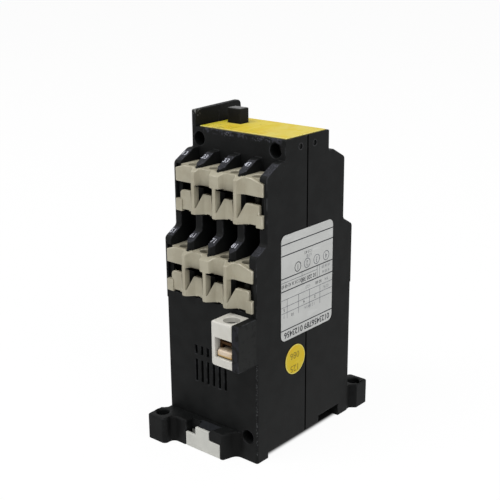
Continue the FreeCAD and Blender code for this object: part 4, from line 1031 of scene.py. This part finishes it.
@dataclass
class Case:
    """The two half shells of the case and the screws that hold them."""

    rounding: float = 0.26 * MM
    foot_rounding: float = 0.65 * MM
    foot_top: float = 9.0 * MM
    foot_start: float = 25.0 * MM
    screw_rounding: float = 0.12 * MM
    foot_mark: float = 0.15
    soft_segments: int = 3
    touch: float = 0.01 * MM
    slope_area: float = 4.0 * MM * MM
    slope_rise: Span = (0.8, 0.92)
    slope_lean: float = 0.1
    ramp_top: float = 9.5 * MM
    seam_half: float = 0.42 * MM
    seam_side: float = 18.5 * MM
    seam_rounding: float = 0.31 * MM
    mark_places: Place = mm(-3.55, 3.55)
    mark_height: float = 98.9 * MM
    mark_radius: float = 1.15 * MM
    mark_width: float = 0.25 * MM

    def slope_finish(self, face: Face) -> CaseFace:
        """Tells the flat sloping tops of the fins and walls, and the driver ramp, from plain faces.

        Args:
            face: A face before the rounding.

        Returns:
            Its finish.
        """
        low, high = self.slope_rise
        sloping = abs(face.normal.x) < self.slope_lean and low < face.normal.z < high
        if not sloping or face.calc_area() < self.slope_area:
            return CaseFace.PLAIN
        # The slopes get a lighter grey, partly a grainier finish and partly painted light; the ramp gets
        # painted shade.
        return CaseFace.RAMP if face.calc_center_median().z < self.ramp_top else CaseFace.SLOPE

    def seam_finish(self, face: Face) -> CaseFace:
        """Tells the groove where the half shells meet on the outer sides from plain faces.

        Args:
            face: A face after the rounding.

        Returns:
            Its finish.
        """
        outside = abs(face.calc_center_median().x) > self.seam_side
        groove = outside and all(abs(vert.co.y) < self.seam_half for vert in face.verts)
        return CaseFace.SEAM if groove else CaseFace.PLAIN

    def is_seam_edge(self, edge: Edge) -> bool:
        """Whether an edge lies on the seam of an outer side."""
        return all(
            abs(vert.co.y) < self.touch and abs(vert.co.x) > self.seam_side for vert in edge.verts
        )

    def is_foot_edge(self, edge: Edge) -> bool:
        """Whether an edge is a top edge of a foot or shelf, which is softer than the others."""
        return all(
            abs(vert.co.z - self.foot_top) < self.touch and abs(vert.co.y) > self.foot_start
            for vert in edge.verts
        )

    def build(self) -> None:
        """Makes the half shells, their screws and the rims of the moulding marks."""
        for node in ("housing_front", "housing_rear"):
            SHOP.skin(node, [BLACK, SLOPE, SEAM, RAMP], Slot.CASE,
                      Rounding(self.foot_rounding, self.soft_segments, where=self.is_foot_edge,
                               mark=self.foot_mark),
                      Rounding(self.seam_rounding, where=self.is_seam_edge), Rounding(self.rounding),
                      paint=self.slope_finish, touch_up=self.seam_finish)
        SHOP.skin("housing_screws", [STEEL], Slot.STEEL, Rounding(self.screw_rounding))
        press = Press((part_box("rating_label")[0].x, 0.0, self.mark_height), (0, 1, 0), (0, 0, 1))
        for place in self.mark_places:
            press.ring((place, 0.0), self.mark_radius, self.mark_width)
        press.done("moulding_mark_rims", MARK_INK, Slot.CASE)


@dataclass
class TerminalNumbers:
    """White numbers on the sloping tops beside each terminal."""

    height: float = 1.9 * MM
    squeeze: float = 0.84
    bold: float = 0.035 * MM
    places: Place = mm(-17.75, -9.05, -0.25, 8.35)
    upper_lip: Place = mm(-19.7, 91.95)
    upper_back: Place = mm(-13.4, 95.4)
    lower_lip: Place = mm(-24.75, 68.4)
    lower_back: Place = mm(-19.7, 71.3)
    upper_share: float = 0.6
    lower_share: float = 0.5

    def slope(self, deck: Deck) -> tuple[Place, Place, float]:
        """Where the numbers of a deck stand.

        Args:
            deck: The deck.

        Returns:
            The lower and upper (y, z) of its slope, and the share of it below the numbers' middle.
        """
        if deck is Deck.UPPER:
            return self.upper_lip, self.upper_back, self.upper_share
        return self.lower_lip, self.lower_back, self.lower_share

    def build(self) -> None:
        """Prints the numbers of both decks at both ends."""
        first = {Deck.UPPER: 1, Deck.LOWER: 5}
        last = {(Deck.UPPER, End.FRONT): 3, (Deck.UPPER, End.REAR): 4,
                (Deck.LOWER, End.FRONT): 1, (Deck.LOWER, End.REAR): 2}
        for end in End:
            for deck in Deck:
                (y0, z0), (y1, z1), share = self.slope(deck)
                middle = (0.0, y0 + (y1 - y0) * share, z0 + (z1 - z0) * share)
                press = Press(middle, (1, 0, 0), (0, y1 - y0, z1 - z0))
                for index, x in enumerate(self.places):
                    text = f"{first[deck] + index}{last[deck, end]}"
                    press.digits(text, (x, 0.0), self.height, self.squeeze, end.turn(), self.bold)
                press.done(f"terminal_numbers_{deck.value}_{end.name.lower()}", WHITE_INK, Slot.CASE)


@dataclass
class Guards:
    """The beige combs in front of the terminals."""

    rounding: float = 0.24 * MM

    def build(self) -> None:
        """Makes the four combs."""
        for deck in Deck:
            for end in End:
                node = f"guard_{deck.value}_{end.name.lower()}"
                SHOP.skin(node, [BEIGE], Slot.GUARD, Rounding(self.rounding))


@dataclass
class CoilTerminals:
    """The white coil terminals with their brass cages."""

    segments: int = 3
    block_rounding: float = 0.55 * MM
    mouth_rounding: float = 0.22 * MM
    block_front: float = 33.0 * MM
    block_left: float = 7.9 * MM
    block_right: float = 16.3 * MM
    cave_left: float = 9.5 * MM
    cave_height: Place = mm(37.4, 44.1)
    brass_rounding: float = 0.55 * MM
    screw_rounding: float = 0.15 * MM
    jaw_top: float = 40.2 * MM

    def is_cage(self, face: Face) -> int:
        """1 for the cage over the jaw, painted dark brown as shade, else 0."""
        return int(face.calc_center_median().z > self.jaw_top)

    def is_outer_edge(self, edge: Edge) -> bool:
        """Picks the outer edges of a block.

        Args:
            edge: An edge of the block.

        Returns:
            True on the outside, but not at the wire opening or beside the ear.
        """
        low, high = self.cave_height
        outside = all(abs(v.co.y) > self.block_front or abs(v.co.x) < self.block_left for v in edge.verts)
        opening = all(abs(v.co.x) > self.cave_left and low < v.co.z < high for v in edge.verts)
        beside_ear = all(abs(v.co.x) > self.block_right for v in edge.verts)
        return outside and not opening and not beside_ear

    def is_mouth_edge(self, edge: Edge) -> bool:
        """Whether an edge belongs to the wire opening or the driver hole."""
        return not self.is_outer_edge(edge) and not all(abs(v.co.x) > self.block_right for v in edge.verts)

    def build(self) -> None:
        """Makes the block, cage and strip of each end."""
        for end in End:
            side = end.name.lower()
            SHOP.skin(f"coil_terminal_{side}", [IVORY], Slot.TERMINAL,
                      Rounding(self.block_rounding, self.segments, where=self.is_outer_edge),
                      Rounding(self.mouth_rounding, where=self.is_mouth_edge))
            SHOP.skin(f"coil_clamp_{side}", [LIT_CLAMP_BRASS, CAGE_SHADE_BRASS], Slot.BRASS,
                      Rounding(self.brass_rounding, self.segments), paint=self.is_cage)
            SHOP.dress(f"coil_strip_{side}", CAGE_SHADE_BRASS)
        SHOP.skin("coil_screws", [STEEL], Slot.STEEL, Rounding(self.screw_rounding))


@dataclass
class Latch:
    """The sliding rail latch and its spring."""

    rounding: float = 0.25 * MM
    push: Push = Push("latch_slide", (0, 1, 0), 3.0 * MM)

    def build(self) -> None:
        """Makes the latch and its spring."""
        SHOP.skin("rail_latch", [GREY], Slot.LATCH, Rounding(self.rounding), body="latch")
        SHOP.spring("latch_spring", self.push)


@dataclass(frozen=True)
class Words:
    """Digits on the silver label, with their middle (y, z), height, width share and boldness."""

    text: str
    place: Place
    height: float = 1.0 * MM
    squeeze: float = 0.9
    bold: float = 0.0

    def strike(self, press: Press) -> None:
        """Prints the digits upside down, as the label sits."""
        y, z = self.place
        press.digits(self.text, (-y, -z), self.height, self.squeeze, bold=self.bold)


@dataclass
class Labels:
    """The yellow plate, the silver label with its print and the round sticker."""

    plate_rounding: float = 0.08 * MM
    foil_rounding: float = 0.04 * MM
    rule_width: float = 0.34 * MM
    hair_width: float = 0.18 * MM
    left: float = -13.05 * MM
    right: float = 13.7 * MM
    full_rules: Place = mm(69.65, 66.13, 58.7, 54.55, 41.55)
    ring_places: Place = mm(-4.75, 0.06, 5.04, 10.15)
    ring_height: float = 61.0 * MM
    ring_radius: float = 1.65 * MM
    ring_width: float = 0.26 * MM
    table_rules: Place = mm(51.7, 49.3)
    table_columns: Place = mm(-10.06, -4.25, 1.43, 7.04)
    table_middle: float = 47.3 * MM
    table_low: float = 45.4 * MM
    box_columns: Place = mm(-2.6, 5.4, 6.6)
    box_top: float = 57.4 * MM
    rim_width: float = 0.25 * MM
    stamp_height: float = 2.3 * MM
    stamps: tuple[tuple[str, Place], ...] = (("125", mm(0.3, 2.9)), ("086", mm(0.3, -1.5)))
    bold_words: tuple[Words, ...] = (
        Words("1", mm(-4.75, 61.0), 1.9 * MM),
        Words("110 220 380", mm(1.3, 56.0), 1.4 * MM, squeeze=0.92, bold=0.025 * MM),
        Words("12 24 36 42 48 60", mm(-8.0, 56.2), 1.2 * MM, squeeze=0.8),
        Words("1 2 3 4 5", mm(0.6, 64.7), 0.9 * MM),
        Words("5", mm(-11.6, 48.4), 1.05 * MM, squeeze=1.0),
        Words("10", mm(-7.3, 45.9), 1.05 * MM, squeeze=1.0),
        Words("4", mm(-1.4, 48.4), 1.05 * MM, squeeze=1.0),
        Words("2", mm(4.4, 48.5), 1.05 * MM, squeeze=1.0),
        Words("50 60", mm(6.2, 53.0), 1.05 * MM, squeeze=1.0),
        Words("0123456789 0123456", mm(0.4, 39.75), 2.0 * MM, squeeze=0.98, bold=0.05 * MM),
    )
    faint_words: tuple[Words, ...] = (
        Words("10 16 20", mm(10.1, 57.6)),
        Words("6 10 16", mm(10.1, 55.8)),
        Words("1 2 3 4 5 6", mm(1.6, 46.2)),
        Words("12 16", mm(10.4, 50.4)),
        Words("8 4", mm(10.4, 53.0)),
        Words("6 7 8", mm(1.0, 63.4)),
        Words("7", mm(-11.6, 46.3)),
        Words("1 2 3", mm(0.6, 53.0)),
    )
    ring_digits: float = 1.8 * MM

    def build(self) -> None:
        """Makes the three labels and their print."""
        SHOP.skin("top_label", [YELLOW], Slot.PLATE, Rounding(self.plate_rounding))
        SHOP.skin("rating_label", [SILVER], Slot.FOIL, Rounding(self.foil_rounding))
        SHOP.skin("inspection_sticker", [STICKER], Slot.STICKER, Rounding(self.foil_rounding))
        self.print_rating()
        self.print_fine()
        self.print_sticker()

    def rating_press(self) -> Press:
        """A press on the silver label, upside down as the label sits."""
        return Press((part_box("rating_label")[1].x, 0.0, 0.0), (0, -1, 0), (0, 0, -1))

    def rule_across(self, press: Press, z: float, end: float, width: float) -> None:
        """Prints a level rule from the label's left edge."""
        press.rule((-self.left, -z), (-end, -z), width)

    def print_rating(self) -> None:
        """Prints the bold rules, the first ring and the bold numbers."""
        press = self.rating_press()
        for z in self.full_rules:
            self.rule_across(press, z, self.right, self.rule_width)
        press.ring((-self.ring_places[0], -self.ring_height), self.ring_radius, self.ring_width)
        for words in self.bold_words:
            words.strike(press)
        press.done("rating_label_print", DARK_INK, Slot.FOIL)

    def print_fine(self) -> None:
        """Prints the hair rules, the other numbered rings and the fainter numbers."""
        press = self.rating_press()
        for z in (*self.table_rules, self.table_middle):
            self.rule_across(press, z, self.right, self.hair_width)
        for y in self.table_columns:
            press.rule((-y, -self.table_rules[0]), (-y, -self.table_low), self.hair_width)
        self.rule_across(press, self.box_top, self.box_columns[1], self.hair_width)
        for y in self.box_columns:
            press.rule((-y, -self.full_rules[2]), (-y, -self.full_rules[3]), self.hair_width)
        for number, y in enumerate(self.ring_places[1:], 2):
            press.ring((-y, -self.ring_height), self.ring_radius, self.ring_width)
            Words(str(number), (y, self.ring_height), self.ring_digits).strike(press)
        for words in self.faint_words:
            words.strike(press)
        press.done("rating_label_fine_print", FAINT_INK, Slot.FOIL)

    def print_sticker(self) -> None:
        """Stamps two plain numbers on the sticker, upside down as it sits."""
        low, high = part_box("inspection_sticker")
        middle = (low + high) / 2
        press = Press((high.x, middle.y, middle.z), (0, -1, 0), (0, 0, -1))
        for stamp, place in self.stamps:
            press.digits(stamp, place, self.stamp_height)
        press.done("sticker_print", STAMP_INK, Slot.STICKER)
        rim = Press((high.x, middle.y, middle.z), (0, -1, 0), (0, 0, -1))
        rim.ring((0.0, 0.0), (high.z - low.z) / 2 - self.foil_rounding, self.rim_width)
        rim.done("sticker_rim_print", RIM_INK, Slot.STICKER)


@dataclass
class Contacts:
    """Contact strips, bridges, terminal screws and springs, seen only through the openings."""

    rounding: float = 0.12 * MM
    poles: int = 4
    push: Push = Push("carrier_slide", (0, 0, 1), 1.0 * MM, top_stays=True)

    def build(self) -> None:
        """Dresses the contact parts and makes a rounded copy of the springs of the make contacts."""
        SHOP.spring("contact_springs_upper", self.push, "carrier")
        SHOP.dress("contact_springs_lower", SPRING)
        SHOP.skin("terminal_screws", [SHADED_TERMINAL_STEEL], Slot.STEEL, Rounding(self.rounding))
        SHOP.skin("clamp_plates", [SHADED_TERMINAL_STEEL], Slot.STEEL, Rounding(self.rounding))
        for deck in Deck:
            for number in range(1, self.poles + 1):
                SHOP.dress(f"bridge_{deck.value}_{number}", BRASS)
                for end in End:
                    SHOP.dress(f"contact_{deck.value}_{end.name.lower()}_{number}", BRASS)


@dataclass
class Drive:
    """The contact carrier with its indicator, and the magnet that pulls it."""

    rounding: float = 0.3 * MM
    indicator_top: float = 106.0 * MM
    level: float = 0.9
    push: Push = Push("carrier_slide", (0, 0, 1), 4.0 * MM)

    def is_indicator_top(self, face: Face) -> int:
        """1 for the polished top of the indicator, else 0."""
        return int(face.normal.z > self.level and face.calc_center_median().z > self.indicator_top)

    def build(self) -> None:
        """Makes the carrier and dresses the magnet and the coil."""
        SHOP.skin("contact_carrier", [CARRIER, INDICATOR], Slot.CARRIER, Rounding(self.rounding),
                  body="carrier", paint=self.is_indicator_top)
        for node, finish in (("armature", SHEETS), ("magnet_core", SHEETS), ("armature_pin", STEEL),
                             ("shading_rings", RING), ("core_pad", RUBBER), ("coil_bobbin", BOBBIN),
                             ("coil_winding", WIRE)):
            SHOP.dress(node, finish)
        SHOP.spring("return_springs", self.push)


@dataclass(frozen=True)
class Lamp:
    """A soft square lamp: where it hangs, its side in metres and its power in watts."""

    name: str
    place: Place
    size: float
    power: float

    def hang(self, aim: Place) -> None:
        """Hangs the lamp so that it faces a point.

        Args:
            aim: The point.
        """
        lamp = bpy.data.lights.new(self.name, "AREA")
        lamp.size = self.size
        lamp.energy = self.power
        holder = bpy.data.objects.new(self.name, lamp)
        turn = (Vector(aim) - Vector(self.place)).to_track_quat("-Z", "Y").to_matrix().to_4x4()
        holder.matrix_world = Matrix.Translation(self.place) @ turn
        bpy.context.scene.collection.objects.link(holder)


@dataclass
class Studio:
    """White floor, soft light and the camera."""

    lamps: tuple[Lamp, ...] = (
        Lamp("key", (-0.35, -0.7, 1.15), 0.6, 9.6),
        Lamp("top", (0.15, 0.25, 1.3), 0.6, 3.0),
        Lamp("side", (0.85, -0.25, 0.7), 0.7, 5.0),
    )
    aim: Place = (0.0, 0.0, 0.05)
    near: float = 0.01
    eye: Place = mm(196.68, -236.0, 159.51)
    right: Place = (0.7626, 0.6468, -0.0077)
    up: Place = (-0.1912, 0.2367, 0.9526)
    back: Place = (0.6180, -0.7250, 0.3042)
    lens: float = 70.893
    sensor: float = 36.0
    ambient: float = 0.4
    floor_half: float = 4.0
    floor_glow: float = 0.95
    floor_white: Colour = (0.95, 0.95, 0.95)
    # Painted shadow: the floor's colour under the case.
    floor_shade: Colour = (0.012, 0.012, 0.012)
    footprint: Place = mm(17.4, 22.0)
    footprint_soft: float = 1.1 * MM
    footprint_reach: float = 1.0

    def build(self) -> None:
        """Sets the stage, the light and the camera."""
        self.set_world()
        self.lay_floor()
        for lamp in self.lamps:
            lamp.hang(self.aim)
        self.set_camera()

    def set_world(self) -> None:
        """White where it is seen, a plain ambient level elsewhere."""
        world = bpy.data.worlds.new("studio")
        world.use_nodes = True
        tree = Tree(world.node_tree)
        lights = [tree.node("Background", (1, 1, 1, 1), strength) for strength in (self.ambient, 1.0)]
        shown = tree.node("MixShader", tree.seen(), *(light.outputs["Background"] for light in lights))
        tree.node("OutputWorld", Surface=shown.outputs["Shader"])
        bpy.context.scene.world = world

    def lay_floor(self) -> None:
        """A plain white floor with a faint shadow, and a painted near black shadow where the case stands
        on it.
        """
        bm = bmesh.new()
        bmesh.ops.create_grid(bm, x_segments=1, y_segments=1, size=self.floor_half)
        mesh = bpy.data.meshes.new("floor")
        bm.to_mesh(mesh)
        bm.free()
        floor = bpy.data.objects.new("floor", mesh)
        bpy.context.scene.collection.objects.link(floor)
        g = Graph("floor_white")
        x, y = self.footprint
        z = self.footprint_reach
        under = g.inside((-x, -y, -z), (x, y, z), self.footprint_soft)
        g.paint(g.mix(under, self.floor_white, self.floor_shade))
        g.set(Roughness=1.0, Specular_IOR_Level=0.0)
        glow = g.node("Emission", Strength=1.0)
        share = g.times(g.seen(), g.span(under, self.floor_glow, 0.0))
        shown = g.node("MixShader", share, g.shader.outputs["BSDF"], glow.outputs["Emission"])
        g.feed(g.output, Surface=shown.outputs["Shader"])
        mesh.materials.append(g.material)

    def set_camera(self) -> None:
        """Stands the camera where the photograph was taken from."""
        data = bpy.data.cameras.new("camera")
        data.sensor_width = self.sensor
        data.lens = self.lens
        data.clip_start = self.near
        camera = bpy.data.objects.new("camera", data)
        axes = Matrix((self.right, self.up, self.back)).transposed().to_4x4()
        camera.matrix_world = Matrix.Translation(self.eye) @ axes
        bpy.context.scene.collection.objects.link(camera)
        bpy.context.scene.camera = camera


def main() -> None:
    """Dresses the relay piece by piece and sets up the studio."""
    logging.basicConfig(level=logging.INFO, format="%(name)s: %(message)s")
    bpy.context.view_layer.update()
    parts = (Case(), TerminalNumbers(), Guards(), CoilTerminals(), Latch(), Labels(), Contacts(), Drive())
    for part in parts:
        LOG.info("building %s", type(part).__name__)
        part.build()
    bpy.context.scene.view_settings.view_transform = "Standard"
    Studio().build()


if __name__ == "__main__":
    main()
